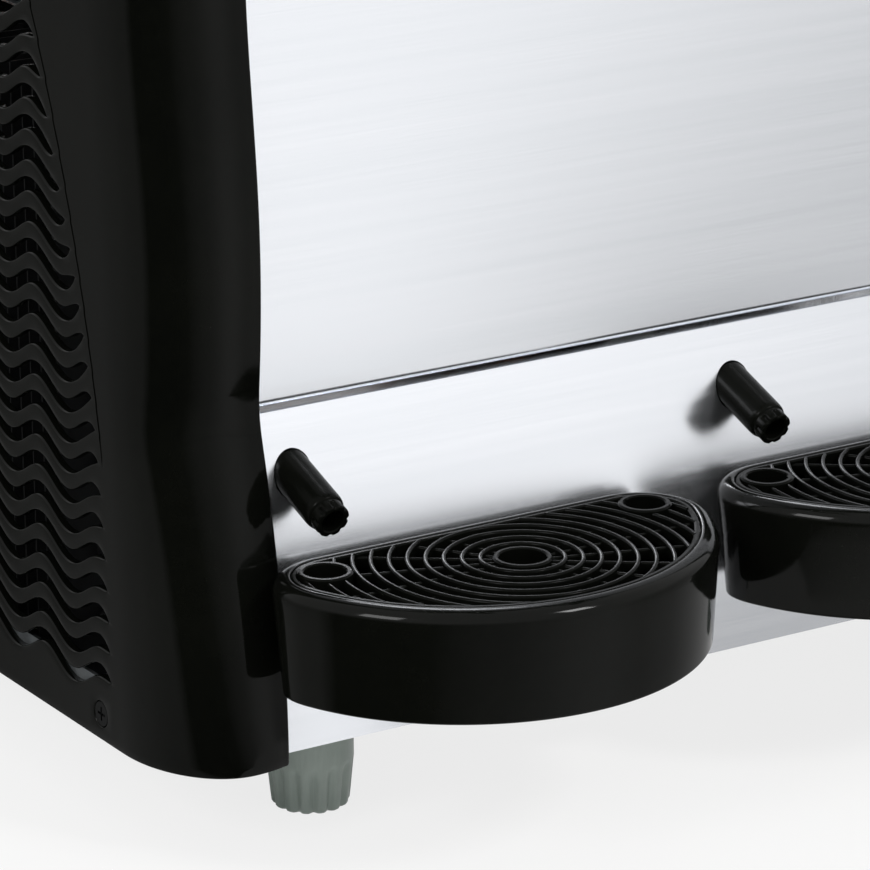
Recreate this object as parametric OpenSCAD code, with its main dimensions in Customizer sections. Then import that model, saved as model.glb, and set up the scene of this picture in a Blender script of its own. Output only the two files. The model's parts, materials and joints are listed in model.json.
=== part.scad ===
// Counter-top slush machine with two bowls, modelled as its separate pieces.
// Frame: X across the front, Y from front to back, Z up; origin on the counter, under the bowls.

/* [Overall] */
// Width over the two side panels
overall_w = 400; // [392:1:430]
// Depth from the front of the drip trays to the rear panel
overall_d = 465; // [461:1:505]
// Distance from the frame's origin back to the rear panel
origin_d = 240; // [230:1:250]
// Distance between the centres of the two bays
bay_pitch = 177; // [175:1:182]
// Height of the cabinet's underside above the counter
cabinet_z = 29; // [24:1:40]
// Height of the top of the side panels, where the deck lies
deck_z = 412; // [404:1:440]

/* [Sheet metal] */
// Thickness of the stainless front sheets
sheet = 1.2; // [0.8:0.1:2]
// Thickness of the base pan and the chassis posts
pan_t = 1.5; // [1.2:0.1:2.5]
// Height of the base pan's side flanges
pan_flange_h = 22; // [18:1:26]
// Depth of the flanges folded back round the front sheets
fold_depth = 15; // [10:1:20]
// Height of the seam between the two front sheets
seam_z = 149; // [140:1:160]
// Open gap at the seam
seam_gap = 1; // [0.5:0.5:3]
// How far the upper sheet lies behind the lower one at the seam
seam_step = 1; // [0.5:0.5:4]
// How far the upper sheet leans back from the seam to its top
upper_lean = 3.5; // [2:0.5:6]
// Radius of the upper sheet's rolled lower edge
roll_r = 3; // [2:0.5:6]
// Height of the control fascia under the deck
fascia_h = 40; // [36:1:48]

/* [Side panels] */
// Wall of the moulded side panels
panel_t = 3; // [2.4:0.1:4]
// Gap between the panels' lower edge and the cabinet's underside
panel_lift = 2; // [1:0.5:5]
// Width of a panel's front, from the outer side to its inner edge
nose_w = 42; // [40:1:46]
// Reach of the rounded front corner across the front
corner_a = 28; // [24:1:30]
// How far the inner edge falls back behind the nose
nose_round = 2.5; // [1.5:0.5:4]
// How far the panel stands ahead of the lower sheet at its foot
proud_foot = 17.7; // [12:0.1:22]
// How far it stands ahead of the lower sheet at the waist, level with the seam
proud_waist = 1.2; // [0.8:0.1:3]
// How far it stands ahead of the lower sheet at the upper bulge
proud_bulge = 4.4; // [3:0.1:8]
// How far it stands ahead of the upper sheet at the top
proud_upper = 1.9; // [1:0.1:4]
// Height of the upper bulge above the seam
bulge_rise = 51; // [40:1:70]
// Height over which the upper bulge fades out
bulge_fade = 105; // [80:1:130]
// Where the flat side starts at the foot, behind the lower sheet
flat_foot = 20; // [16:1:22]
// Where the flat side starts at the top, behind the lower sheet
flat_top = 40; // [36:1:50]

/* [Louvres] */
// Height of the lowest wavy slot above the cabinet's underside
louvre_rise = 23.5; // [22:0.5:30]
// Spacing of the rows of slots
slot_pitch = 10.6; // [10:0.1:14]
// Width of a slot
slot_w = 4.3; // [3:0.1:5]
// Wave length of a slot
slot_wave = 40.5; // [36:0.5:50]
// Height of a wave above its middle line
slot_amp = 3.375; // [2:0.125:4.5]
// Length of the tapered tail at each end of a slot
slot_tail = 7; // [4:0.5:12]
// Where the lowest slot starts, behind the lower sheet
louvre_start = 27.5; // [26:0.5:40]
// Radius of the arc that the slots' front ends follow
louvre_r = 540; // [450:10:700]
// Where the slots end, behind the lower sheet
louvre_end = 190; // [150:5:240]
// Width of the groove ahead of the upper slots
groove_w = 1; // [0.6:0.1:1.5]
// Depth of that groove
groove_d = 0.7; // [0.4:0.1:1.2]

/* [Drip trays] */
// Length of a tray from its back wall to its front
tray_len = 89; // [84:1:96]
// Diameter of a tray's round front
tray_d = 172; // [164:1:174]
// Height of a tray
tray_h = 39; // [34:1:46]
// Height of a tray's rim above the counter
tray_top_z = 101.5; // [90:0.5:110]
// Distance of the seam between the front sheets behind a tray's back wall
tray_gap = 12; // [8:1:20]
// Wall of a tray
tray_wall = 2.5; // [2:0.1:3.5]
// Draft of a tray's side over its height
tray_draft = 1.6; // [0.5:0.1:3]
// Radius of a tray's back corners
tray_corner = 24; // [23:1:28]
// How far a tray's back wall slopes forward from its rim to its floor
back_slope = 8; // [7:0.5:10]
// Radius of a tray's rounded rim
rim_r = 6; // [4:0.5:8]
// Thickness of the grille
grille_t = 6; // [5:0.5:8]
// Spacing of the grille's rings
ring_pitch = 6; // [5:0.5:8]
// Width of a ring
ring_w = 1.6; // [1.2:0.1:2.4]
// Number of spokes under the rings
spokes = 20; // [12:2:28]
// Radius of the hole in the middle of the rings
drain_r = 8; // [6:0.5:9]
// Distance of the rings' centre from the tray's back wall
drain_y = 40; // [36:1:46]
// Radius of a grille's finger holes
finger_r = 7; // [6:0.5:8]

/* [Drain spouts] */
// Outer radius of a spout
spout_r = 7; // [6:0.5:8]
// Length of a spout outside the sheet
spout_len = 27; // [22:1:34]
// How far a spout points down, in degrees
spout_tilt = 20; // [14:1:28]
// Height of the spouts where they leave the sheet
spout_z = 127.5; // [124:0.5:130]
// Distance of a spout to the left of its bay's centre
spout_side = 59.5; // [50:0.5:60]
// Radius of the bore through a spout
spout_bore_r = 4; // [3:0.5:4.5]
// Radius of the hose end behind a spout and under the deck
barb_r = 6.5; // [6:0.5:7.5]
// Wall of the drain hoses
hose_wall = 2; // [1.5:0.5:3]
// Bend radius of the drain hoses
hose_bend = 30; // [24:1:40]

/* [Feet] */
// Radius of a foot at its top
foot_r = 15; // [12:0.5:18]
// Radius of a foot at its bottom
foot_base_r = 13.5; // [11:0.5:16]
// Radius of a foot's threaded stud
stud_r = 5; // [4:0.5:6]
// Distance of the front feet from the middle
foot_x = 130; // [110:1:136]
// Distance of the feet from the lower sheet and from the rear panel
foot_inset = 17; // [16:1:40]
// Number of flutes round a foot
flutes = 14; // [8:1:18]

/* [Bowls and drums] */
// Gap between the two bowls
bowl_gap = 5; // [4:0.5:8]
// Wall of a bowl
bowl_wall = 4; // [3:0.5:5]
// Height of a bowl's rim above the drum's axis
bowl_rise = 195; // [170:1:220]
// Length of a bowl behind its front wall
bowl_len = 280; // [276:1:284]
// Gap between a bowl's round bottom and the deck
bowl_lift = 6; // [4:0.5:10]
// Radius of a freezing drum
drum_r = 52; // [46:0.5:54]
// Length of a freezing drum in front of the bulkhead
drum_len = 240; // [220:1:244]
// Radius of the drum's rear flange
flange_r = 72; // [70:0.5:73]
// Radius of a drive shaft
shaft_r = 8; // [6:0.5:9]
// Radial gap between a drum and its auger
auger_gap = 3; // [2:0.5:6]
// Radial gap between an auger and its bowl's wall
auger_clear = 6; // [5.5:0.5:9]
// Lead of an auger's helix
auger_lead = 78; // [60:1:100]
// Thickness of an auger's ribbon along the axis
ribbon_t = 8; // [6:0.5:12]
// Thickness of a lid
lid_t = 2.5; // [2:0.1:3.5]
// Height of a lid's crown above the bowl's rim
lid_h = 40; // [32:1:60]

/* [Taps] */
// Radius of the bore in a tap's barrel
tap_bore_r = 15; // [13:0.5:17]
// Wall of a tap's barrel
tap_wall = 6; // [4:0.5:7]
// Distance from a tap's axis to its lever's pivot
pivot_reach = 24; // [24:0.5:27]
// Radius of the lever's pivot pin and of the piston's cross pin
pin_r = 2.5; // [2:0.1:3]
// Length of a lever's handle ahead of its pivot
handle_len = 34; // [26:1:36]
// Width of a lever
lever_w = 24; // [22:1:30]

/* [Motor housing] */
// Height of the motor housing above the deck
housing_h = 232; // [226:1:250]
// Thickness of the bulkhead
bulkhead_t = 3; // [2:0.5:4]
// Wall of the motor cover
cover_t = 3; // [2.4:0.1:4]
// Distance of the bulkhead from the rear face
bulkhead_inset = 100; // [98:1:120]
// Thickness of the deck
deck_t = 6; // [5:0.5:8]

/* [Fits] */
// How far the rear panel lies inside the ends of the side panels
rear_recess = 3; // [2.5:0.5:6]
// Radius of the panel screws
shank_r = 2; // [1.5:0.1:2.5]
// Radius of the panel screws' heads
head_r = 4.3; // [3.5:0.1:5]
// Wall left under a side screw's head
seat_t = 1.1; // [0.8:0.1:1.5]
// Radial play of the screws in the panels' holes
screw_play = 0.2; // [0.1:0.05:0.4]
// Gap between pieces that move past each other
clearance = 0.3; // [0.2:0.05:0.5]
// Radial gap of a pin or shaft in its bore
running = 0.06; // [0.03:0.01:0.1]

/* [Hidden] */
$fn = 96;

// Planes of the cabinet
half_w = overall_w / 2;
bay_x = bay_pitch / 2;
y_rear = origin_d;
y_front = y_rear - overall_d;
tray_back = y_front + tray_len;
steel_y = tray_back + tray_gap;
upper_foot_y = steel_y + seam_step;
upper_y = upper_foot_y + upper_lean;
edge_x = half_w - nose_w;
wall_x = half_w - panel_t;
floor_z = cabinet_z + pan_t;
panel_z = cabinet_z + panel_lift;
fascia_z = deck_z - fascia_h;
deck_top = deck_z + deck_t;
rear_in = y_rear - rear_recess - sheet;
pan_front_w = edge_x;
pan_step_y = steel_y + flat_foot + 6;

// Rows and ends of the wavy slots
louvre_z = cabinet_z + louvre_rise;
louvre_rows = floor((deck_z - louvre_z - 3 * slot_pitch) / slot_pitch);
crest_y = steel_y + 76;

// Bowls, drums and taps
bowl_r = (bay_pitch - bowl_gap) / 2;
bowl_in = bowl_r - bowl_wall;
axis_z = deck_top + bowl_lift + bowl_r;
rim_z = axis_z + bowl_rise;
bulkhead_y = y_rear - bulkhead_inset;
bowl_back = bulkhead_y - 2;
bowl_front = bowl_back - bowl_len;
drum_front = bulkhead_y - drum_len;
auger_in = drum_r + auger_gap;
auger_out = bowl_in - auger_clear;
port_r = auger_out + 1;
tap_y = tray_back - drain_y;
tap_r = tap_bore_r + tap_wall;
port_z = axis_z - bowl_in + tap_bore_r + 2;
seat_z = port_z - tap_bore_r - 26;
barrel_top = port_z + tap_bore_r + 28;
piston_top = barrel_top - 24;
cross_z = barrel_top + 10;
pivot_y = tap_y - pivot_reach;
ear_x = lever_w / 2 + 1.5;
ear_t = 5;
outlet_r = tap_bore_r - 4;
seal_lap = 3;

// Switches in the fascia
fascia_y = upper_y - 1.5;
switch_z = fascia_z + fascia_h / 2;
switch_pitch = 42;
switch_half = [9, 13.2];
pivot_in = 5;

// Refrigeration pieces on the base pan
comp = [bay_x, 70];
comp_r = 62;
comp_z = floor_z + 16;
comp_h = 165;
fan_y = 60;
fan_z = floor_z + 118;
fan_r = 76;
cond_lo = [-half_w + 17, fan_y - 92, floor_z];
cond_hi = [-half_w + 51, fan_y + 92, floor_z + 218];
liquid_r = 3.2;
suction_r = 5;
duct_y = rear_in - 18;
suction_y = rear_in - 34;
port_drop = 60;
port_side = 28;

black = "#1d1e1b";
steel = "#c9ccd1";
grey = "#8d9691";
clear = "#dfe8ea80";

// Helpers: a box between two corners, and profiles extruded along X or Y
module box(lo, hi) translate(lo) cube(hi - lo);
module along_x(x0, x1) translate([x0, 0, 0]) rotate([90, 0, 90]) linear_extrude(x1 - x0) children();
module along_y(y0, y1) translate([0, y1, 0]) rotate([90, 0, 0]) linear_extrude(y1 - y0) children();
module rod_x(x0, x1, r) translate([x0, 0, 0]) rotate([0, 90, 0]) cylinder(h = x1 - x0, r = r);
module rod_y(y0, y1, r) translate([0, y0, 0]) rotate([-90, 0, 0]) cylinder(h = y1 - y0, r = r);
module both_bays() for (x = [-bay_x, bay_x]) translate([x, 0, 0]) children();
module both_sides() for (s = [0, 1]) mirror([s, 0, 0]) children();

// Flat rectangle with round corners between two points
module rounded(lo, hi, r) {
    translate([lo[0] + r, lo[1]]) square([hi[0] - lo[0] - 2 * r, hi[1] - lo[1]]);
    translate([lo[0], lo[1] + r]) square([hi[0] - lo[0], hi[1] - lo[1] - 2 * r]);
    for (x = [lo[0] + r, hi[0] - r], y = [lo[1] + r, hi[1] - r]) translate([x, y]) circle(r);
}

// Closed solid through rings of points, each ring counter-clockwise seen from the next one
module lofted(rings) {
    m = len(rings[0]);
    n = len(rings);
    sides = [for (i = [0 : n - 2], j = [0 : m - 1]) each [
        [i * m + j, (i + 1) * m + j, (i + 1) * m + (j + 1) % m],
        [i * m + j, (i + 1) * m + (j + 1) % m, i * m + (j + 1) % m]
    ]];
    caps = [[for (j = [0 : m - 1]) j], [for (j = [m - 1 : -1 : 0]) (n - 1) * m + j]];
    polyhedron([for (ring = rings) each ring], concat(sides, caps));
}

// Pipe of radius r through corner points along the axes, with bends of radius b
module pipe(points, r, b) {
    n = len(points);
    for (i = [0 : n - 2]) {
        way = points[i + 1] - points[i];
        dir = way / norm(way);
        from = points[i] + dir * (i == 0 ? 0 : b);
        length = norm(way) - (i == 0 ? 0 : b) - (i == n - 2 ? 0 : b);
        translate(from) turned(dir) cylinder(h = length, r = r);
    }
    for (i = [1 : n - 2]) {
        into = (points[i] - points[i - 1]) / norm(points[i] - points[i - 1]);
        out = (points[i + 1] - points[i]) / norm(points[i + 1] - points[i]);
        side = cross(into, out);
        mid = points[i] - into * b + out * b;
        multmatrix([
            [-out[0], into[0], side[0], mid[0]],
            [-out[1], into[1], side[1], mid[1]],
            [-out[2], into[2], side[2], mid[2]],
            [0, 0, 0, 1]
        ]) rotate_extrude(angle = 90) translate([b, 0]) circle(r);
    }
}

// Turns the Z axis to a direction along one of the axes
module turned(dir) {
    if (abs(dir[0]) > 0.5) rotate([0, 90 * sign(dir[0]), 0]) children();
    else if (abs(dir[1]) > 0.5) rotate([-90 * sign(dir[1]), 0, 0]) children();
    else rotate([dir[2] > 0 ? 0 : 180, 0, 0]) children();
}

// Base pan: floor, folded side and rear flanges, and weld nuts for the feet
module base_pan() color("#6f7475") difference() {
    union() {
        box([-pan_front_w, steel_y, cabinet_z], [pan_front_w, pan_step_y + 1, floor_z]);
        box([-wall_x, pan_step_y, cabinet_z], [wall_x, rear_in, floor_z]);
        both_sides() box([wall_x - pan_t, pan_step_y, cabinet_z], [wall_x, rear_in, cabinet_z + pan_flange_h]);
        box([-wall_x, rear_in - pan_t, cabinet_z], [wall_x, rear_in, cabinet_z + pan_flange_h]);
        foot_places() translate([0, 0, floor_z - 0.5]) cylinder(h = 10, r = stud_r + 4.5);
    }
    foot_places() translate([0, 0, cabinet_z - 1]) cylinder(h = 20, r = stud_r + running);
    side_screw_places() rod_x(-20, 20, shank_r + running);
    rear_screw_places() rod_y(-20, 20, shank_r + running);
}

foot_ys = [steel_y + foot_inset, y_rear - foot_inset - 30];
module foot_places() for (x = [-foot_x, foot_x], y = foot_ys) translate([x, y, 0]) children();

// Upright angles that carry the deck on the base pan
module chassis_posts() color("#6f7475") both_sides() for (y = [pan_step_y + 4, rear_in - 24]) {
    box([edge_x + 6, y, floor_z], [edge_x + 6 + pan_t, y + 18, deck_z]);
    box([edge_x + 6, y, floor_z], [edge_x + 24, y + pan_t, deck_z]);
}

// Lower front sheet: it sweeps forward to its foot, a constant step behind the side panels' edges; with
// folded sides that stand on the base pan, a folded top, spout holes and slots for the trays
lower_top = seam_z - seam_gap / 2;
lower_foot_z = panel_z + 4;
lower_back = steel_y + fold_depth;
lower_steps = 24;
function lower_y(z) = edge_y(min(z, seam_z)) + proud_waist;
function lower_curve(back) = [
    for (i = [0 : lower_steps])
        let (z = lower_foot_z + (lower_top - lower_foot_z) * i / lower_steps)
        [lower_y(z) + back, z]
];
module front_panel_lower() color(steel) difference() {
    along_x(-edge_x, edge_x) polygon(concat(lower_curve(0), [
        [steel_y, lower_top], [lower_back, lower_top], [lower_back, floor_z],
        [steel_y + 1, floor_z], [steel_y + 1, lower_foot_z]
    ]));
    along_x(-edge_x + sheet, edge_x - sheet) polygon(concat(
        [[lower_y(lower_foot_z) + sheet, floor_z - 1]],
        [for (p = lower_curve(sheet)) if (p[1] < lower_top - sheet) p],
        [[lower_y(lower_top - sheet) + sheet, lower_top - sheet]],
        [[lower_back + 1, lower_top - sheet], [lower_back + 1, floor_z - 1]]
    ));
    both_bays() translate([-spout_side, spout_y, spout_z]) spout_axis()
        cylinder(h = 40, r = spout_r + clearance, center = true);
    both_bays() tray_tongues(clearance);
}

// Upper front sheet: it leans back a little, and its lower edge rolls back into the seam
upper_bottom = seam_z + seam_gap / 2;
roll_z = upper_bottom + roll_r;
module leaning(front, back) polygon([
    [upper_foot_y + front, roll_z], [upper_foot_y + back, roll_z],
    [upper_y + back, fascia_z], [upper_y + front, fascia_z]
]);
module front_panel_upper() color(steel) {
    along_x(-edge_x, edge_x) {
        leaning(0, sheet);
        intersection() {
            translate([upper_foot_y + roll_r, roll_z]) difference() {
                circle(roll_r);
                circle(roll_r - sheet);
            }
            translate([upper_foot_y, upper_bottom]) square(roll_r);
        }
        translate([upper_y, fascia_z - sheet]) square([fold_depth, sheet]);
    }
    for (x = [-edge_x, edge_x - sheet]) along_x(x, x + sheet) leaning(sheet / 2, fold_depth);
}

// Y of a side panel's inner front edge at height z: two bulges that meet at the waist
function edge_y(z) = steel_y - (
    z < seam_z ? proud_foot - (proud_foot - proud_waist) * pow((z - panel_z) / (seam_z - panel_z), 2)
    : z < seam_z + bulge_rise
        ? proud_bulge - (proud_bulge - proud_waist) * pow((seam_z + bulge_rise - z) / bulge_rise, 2)
    : z < seam_z + bulge_rise + bulge_fade
        ? proud_bulge - (proud_bulge - proud_top) * (1 - cos(180 * (z - seam_z - bulge_rise) / bulge_fade)) / 2
    : proud_top);
proud_top = proud_upper - seam_step - upper_lean;
nose_back = steel_y + fold_depth + 6;

// Y where the flat side starts at height z
function flat_y(z) = steel_y + flat_foot
    + (flat_top - flat_foot) * (z - panel_z) / (deck_z - panel_z);

// Section of the left panel at height z: rear end, rounded front corner, nose and its return lip
corner_steps = 9;
nose_steps = 3;
function panel_ring(z) =
    let (
        yj = flat_y(z),
        yn = edge_y(z) - nose_round,
        b = yj - yn,
        x0 = -half_w + corner_a,
        corner = [for (i = [0 : corner_steps]) let (t = 90 * i / corner_steps)
            [x0 - corner_a * cos(t), yj - b * sin(t), z]],
        front = [for (i = [1 : nose_steps]) let (u = i / nose_steps)
            [x0 + (-edge_x - x0) * u, yn + nose_round * u * u, z]],
        lip = [
            [-edge_x, nose_back, z],
            [-edge_x - panel_t, nose_back, z],
            [-edge_x - panel_t, yn + nose_round + panel_t, z]
        ],
        inner = [for (i = [corner_steps : -1 : 0]) let (t = 90 * i / corner_steps)
            [x0 - (corner_a - panel_t) * cos(t), yj - (b - panel_t) * sin(t), z]]
    )
    concat([[-half_w, y_rear, z]], corner, front, lip, inner, [[-wall_x, y_rear, z]]);

// Front end of the slot at height z: the ends follow an arc up the panel
function slot_front(z) = steel_y + louvre_start + pow(z - louvre_z, 2) / (2 * louvre_r);

// A wavy slot is a chain of arcs, one to each half wave, with a pointed tail at both ends
half_wave = slot_wave / 2;
wave_r = (half_wave * half_wave / 4 + slot_amp * slot_amp) / (2 * slot_amp);
wave_a = asin(half_wave / 2 / wave_r);
tail_lap = 0.4;
tail_half = slot_w / 2 - 0.05;
module slot_arc(a0, a1) intersection() {
    annulus(wave_r - slot_w / 2, wave_r + slot_w / 2);
    polygon([[0, 0], 2 * wave_r * [sin(a0), cos(a0)], [0, 2 * wave_r], 2 * wave_r * [sin(a1), cos(a1)]]);
}
module slot_tip(a, dir) rotate(-a) polygon([
    [-dir * tail_lap, wave_r - tail_half], [dir * slot_tail, wave_r], [-dir * tail_lap, wave_r + tail_half]
]);
module wavy_slot(z) {
    ya = slot_front(z) + slot_tail;
    yb = steel_y + louvre_end - slot_tail;
    first = round((ya - crest_y) / half_wave);
    last = round((yb - crest_y) / half_wave);
    for (i = [first : last]) {
        y = crest_y + i * half_wave;
        up = i % 2 == 0 ? 1 : -1;
        a0 = i == first ? asin((ya - y) / wave_r) : -wave_a;
        a1 = i == last ? asin((yb - y) / wave_r) : wave_a;
        translate([y, z - up * (wave_r - slot_amp)]) mirror([0, up > 0 ? 0 : 1]) {
            slot_arc(a0, a1);
            if (i == first) slot_tip(a0, -1);
            if (i == last) slot_tip(a1, 1);
        }
    }
}

// Left side panel: flat louvred side and rounded front in one wall
groove_steps = 16;
groove_lead = 4;
module side_panel_left() color(black) difference() {
    lofted([for (z = panel_heights) panel_ring(z)]);
    along_x(-half_w - 1, -wall_x + 1) for (i = [0 : louvre_rows - 1]) wavy_slot(louvre_z + i * slot_pitch);
    along_x(-half_w - 1, -half_w + groove_d) groove();
    side_screw_places([-1]) {
        rod_x(-1, panel_t + 1, shank_r + screw_play);
        rod_x(-1, panel_t - seat_t, head_r + clearance);
    }
}

panel_heights = concat(
    [for (i = [0 : 6]) panel_z + (seam_z - panel_z) * i / 6],
    [for (i = [1 : 4]) seam_z + bulge_rise * i / 4],
    [for (i = [1 : 5]) seam_z + bulge_rise + bulge_fade * i / 5],
    [deck_z]
);

// Groove that follows the front ends of the upper slots
module groove() {
    zs = [for (i = [0 : groove_steps]) seam_z - 18 + (deck_z - seam_z - 14) * i / groove_steps];
    polygon(concat(
        [for (z = zs) [slot_front(z) - groove_lead, z]],
        [for (i = [groove_steps : -1 : 0]) [slot_front(zs[i]) - groove_lead + groove_w, zs[i]]]
    ));
}

module side_panel_right() mirror([1, 0, 0]) side_panel_left();

// Places of the screws in the chosen sides (-1 left, 1 right) and in the back
screw_ys = [steel_y + 36, y_rear - 60];
screw_zs = [cabinet_z + 11.5, deck_z - 9];
module side_screw_places(sides = [-1, 1]) for (s = sides) {
    for (y = screw_ys) translate([s * half_w, y, screw_zs[0]]) children();
    translate([s * half_w, screw_ys[1], screw_zs[1]]) children();
}
module rear_screw_places() for (x = [-140, 0, 140], z = screw_zs) translate([x, rear_in, z]) children();

// Rear panel: plain sheet between the side panels, with vent slots and the inlet's cut-out
vent_size = [104, 5];
vent_pitch = 13;
vent_rows = 18;
inlet_at = [edge_x - 12, cabinet_z + 60];
inlet_half = [14, 12];
module rear_panel() color("#b9bcc0") along_y(rear_in, rear_in + sheet) difference() {
    translate([-wall_x, cabinet_z]) square([2 * wall_x, deck_z - cabinet_z]);
    for (x = [-1, 1], i = [0 : vent_rows - 1]) translate([x * 66, cabinet_z + 92 + i * vent_pitch])
        rounded(-vent_size / 2, vent_size / 2, vent_size[1] / 2 - 0.01);
    translate(inlet_at) square(2 * inlet_half, center = true);
    for (x = [-140, 0, 140], z = screw_zs) translate([x, z]) circle(shank_r + screw_play);
}

// Deck: plate with rounded front corners, side rails, skirts for screws and hose ends
deck_front = steel_y - 2;
skirt_t = 3;
skirt_h = 18;
module top_deck() color(black) difference() {
    union() {
        translate([0, 0, deck_z]) linear_extrude(deck_t) {
            translate([-half_w, deck_front + corner_a]) square([overall_w, y_rear - deck_front - corner_a]);
            translate([-half_w + corner_a, deck_front]) square([overall_w - 2 * corner_a, corner_a]);
            for (x = [-half_w + corner_a, half_w - corner_a])
                translate([x, deck_front + corner_a]) circle(corner_a);
        }
        both_sides() box([half_w - 4, deck_front + corner_a, deck_top], [half_w, bulkhead_y, deck_top + 5]);
        both_sides() box([wall_x - skirt_t, 0, deck_z - skirt_h], [wall_x, rear_in - 30, deck_z]);
        box([-150, rear_in - skirt_t, deck_z - skirt_h], [150, rear_in, deck_z]);
        hose_places() translate([0, 0, deck_z - 14]) cylinder(h = 15, r = barb_r);
    }
    hose_places() translate([0, 0, deck_z - 20]) cylinder(h = 60, r = spout_bore_r);
    for (x = [-bay_x, bay_x]) translate([x, suction_y, deck_z - 1]) cylinder(h = deck_t + 2, r = suction_r + 3);
    translate([0, duct_y, deck_z - 1]) cylinder(h = deck_t + 2, r = liquid_r + 3);
    side_screw_places() rod_x(-20, 20, shank_r + running);
    rear_screw_places() rod_y(-20, 20, shank_r + running);
}

// Control fascia: a channel with three switch openings
fascia_t = 3;
body_half = [10.5, 14.7];
module switch_places() for (i = [-1 : 1]) translate([i * switch_pitch, fascia_y, switch_z]) children();
module control_fascia() color(black) difference() {
    box([-edge_x, fascia_y, fascia_z], [edge_x, fascia_y + fold_depth, deck_z]);
    box([-edge_x - 1, fascia_y + fascia_t, fascia_z + fascia_t],
        [edge_x + 1, fascia_y + fold_depth + 1, deck_z - fascia_t]);
    switch_places() box([-body_half[0] - clearance, -1, -body_half[1] - clearance],
        [body_half[0] + clearance, fascia_t + 1, body_half[1] + clearance]);
}

// Housings of the three rocker switches, with a raised bezel
bezel_t = 2;
module switch_bodies() color("#26272a") switch_places() difference() {
    union() {
        box([-body_half[0] - 1.5, -bezel_t, -body_half[1] - 1.5], [body_half[0] + 1.5, 0, body_half[1] + 1.5]);
        box([-body_half[0], -bezel_t, -body_half[1]], [body_half[0], 24, body_half[1]]);
    }
    box([-switch_half[0], -bezel_t - 1, -switch_half[1]], [switch_half[0], 14, switch_half[1]]);
    translate([0, pivot_in, 0]) rod_x(-10, 10, 1.5 + running);
}

// A rocker on its two stub pins, tilted at rest by the given angle
module rocker(i, tilt) translate([i * switch_pitch, fascia_y + pivot_in, switch_z]) rotate([tilt, 0, 0]) {
    along_x(-switch_half[0] + clearance, switch_half[0] - clearance)
        polygon([[-8, 11], [-5.5, 0], [-8, -11], [3, -8], [4.5, 0], [3, 8]]);
    rod_x(-switch_half[0] - 0.8, switch_half[0] + 0.8, 1.5);
}
module rocker_left() color("#101112") rocker(-1, 0);
module rocker_power() color("#2f8f4a") rocker(0, -10);
module rocker_right() color("#101112") rocker(1, 0);

// Mains inlet: a socket shell with a flange behind the rear sheet and three contacts
module mains_inlet() color("#151515") translate([inlet_at[0], rear_in, inlet_at[1]]) {
    difference() {
        union() {
            box([-inlet_half[0], -26, -inlet_half[1]], [inlet_half[0], sheet + 2, inlet_half[1]]);
            box([-inlet_half[0] - 4, -3, -inlet_half[1] - 4], [inlet_half[0] + 4, 0, inlet_half[1] + 4]);
        }
        box([-inlet_half[0] + 2, -18, -inlet_half[1] + 2], [inlet_half[0] - 2, sheet + 3, inlet_half[1] - 2]);
    }
    for (p = [[-6, -3], [0, 3], [6, -3]]) translate([p[0], 0, p[1]]) box([-1, -19, -2], [1, -5, 2]);
}

// Screws of the side and rear panels, all alike
screw_len = 9;
module screw() {
    cylinder(h = screw_len, r = shank_r);
    translate([0, 0, -1.6]) difference() {
        cylinder(h = 1.6, r = head_r);
        translate([0, 0, -0.1]) for (a = [0, 90]) rotate(a) translate([-2.5, -0.5, 0]) cube([5, 1, 0.9]);
    }
}
module panel_screws() color("#4a4c4e") {
    side_screw_places([-1]) translate([panel_t - seat_t, 0, 0]) rotate([0, 90, 0]) screw();
    side_screw_places([1]) translate([seat_t - panel_t, 0, 0]) rotate([0, -90, 0]) screw();
    rear_screw_places() translate([0, sheet, 0]) rotate([90, 0, 0]) screw();
}

// Levelling foot: tapered and fluted, on a threaded stud
flute_r = 1.7;
module foot(i, j) translate([i * foot_x, foot_ys[j], 0]) color(grey) {
    difference() {
        rotate_extrude() polygon([
            [0, 0], [foot_base_r - 1, 0], [foot_base_r, 1], [foot_r, cabinet_z * 0.6],
            [foot_r, cabinet_z - clearance], [0, cabinet_z - clearance]
        ]);
        for (a = [0 : 360 / flutes : 359]) rotate(a) translate([foot_base_r + 1, 0, -1])
            cylinder(h = cabinet_z * 0.6, r = flute_r, $fn = 24);
    }
    translate([0, 0, cabinet_z - 1]) cylinder(h = 13, r = stud_r);
}
module foot_front_left() foot(-1, 0);
module foot_front_right() foot(1, 0);
module foot_rear_left() foot(-1, 1);
module foot_rear_right() foot(1, 1);

// Drain spouts: the tilted tube with its notched tip, the flange behind the sheet and a level hose end
module spout_axis() rotate([90 + spout_tilt, 0, 0]) children();
spout_y = lower_y(spout_z);
sheet_lean = atan(2 * (proud_foot - proud_waist) * (spout_z - panel_z) / pow(seam_z - panel_z, 2));
tip_len = 4.5;
tip_r = spout_r - 1.6;
tip_notches = 8;
barb_back = steel_y + 28;
barb_len = barb_back - spout_y;
flange_t = 2.5;
module drain_spouts() color(black) both_bays() translate([-spout_side, spout_y, spout_z]) difference() {
    union() {
        spout_axis() rotate_extrude() polygon([
            [0, -4], [spout_r, -4], [spout_r, spout_len - tip_len - 2.6],
            [spout_r - 0.3, spout_len - tip_len - 1.3], [spout_r - 0.9, spout_len - tip_len - 0.4],
            [tip_r, spout_len - tip_len], [tip_r, spout_len - 0.8], [tip_r - 0.8, spout_len], [0, spout_len]
        ]);
        rotate([-sheet_lean, 0, 0]) rod_y(sheet + clearance, sheet + clearance + flange_t, spout_r + 1.5);
        rod_y(sheet + 1, barb_len, barb_r);
    }
    spout_axis() cylinder(h = spout_len + 1, r = spout_bore_r);
    rod_y(-0.5, barb_len + 1, spout_bore_r - 0.5);
    for (i = [0 : tip_notches - 1]) spout_axis() rotate(360 * i / tip_notches)
        translate([tip_r, 0, spout_len - 3.5]) cylinder(h = 6, r = 0.9, $fn = 24);
}

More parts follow.
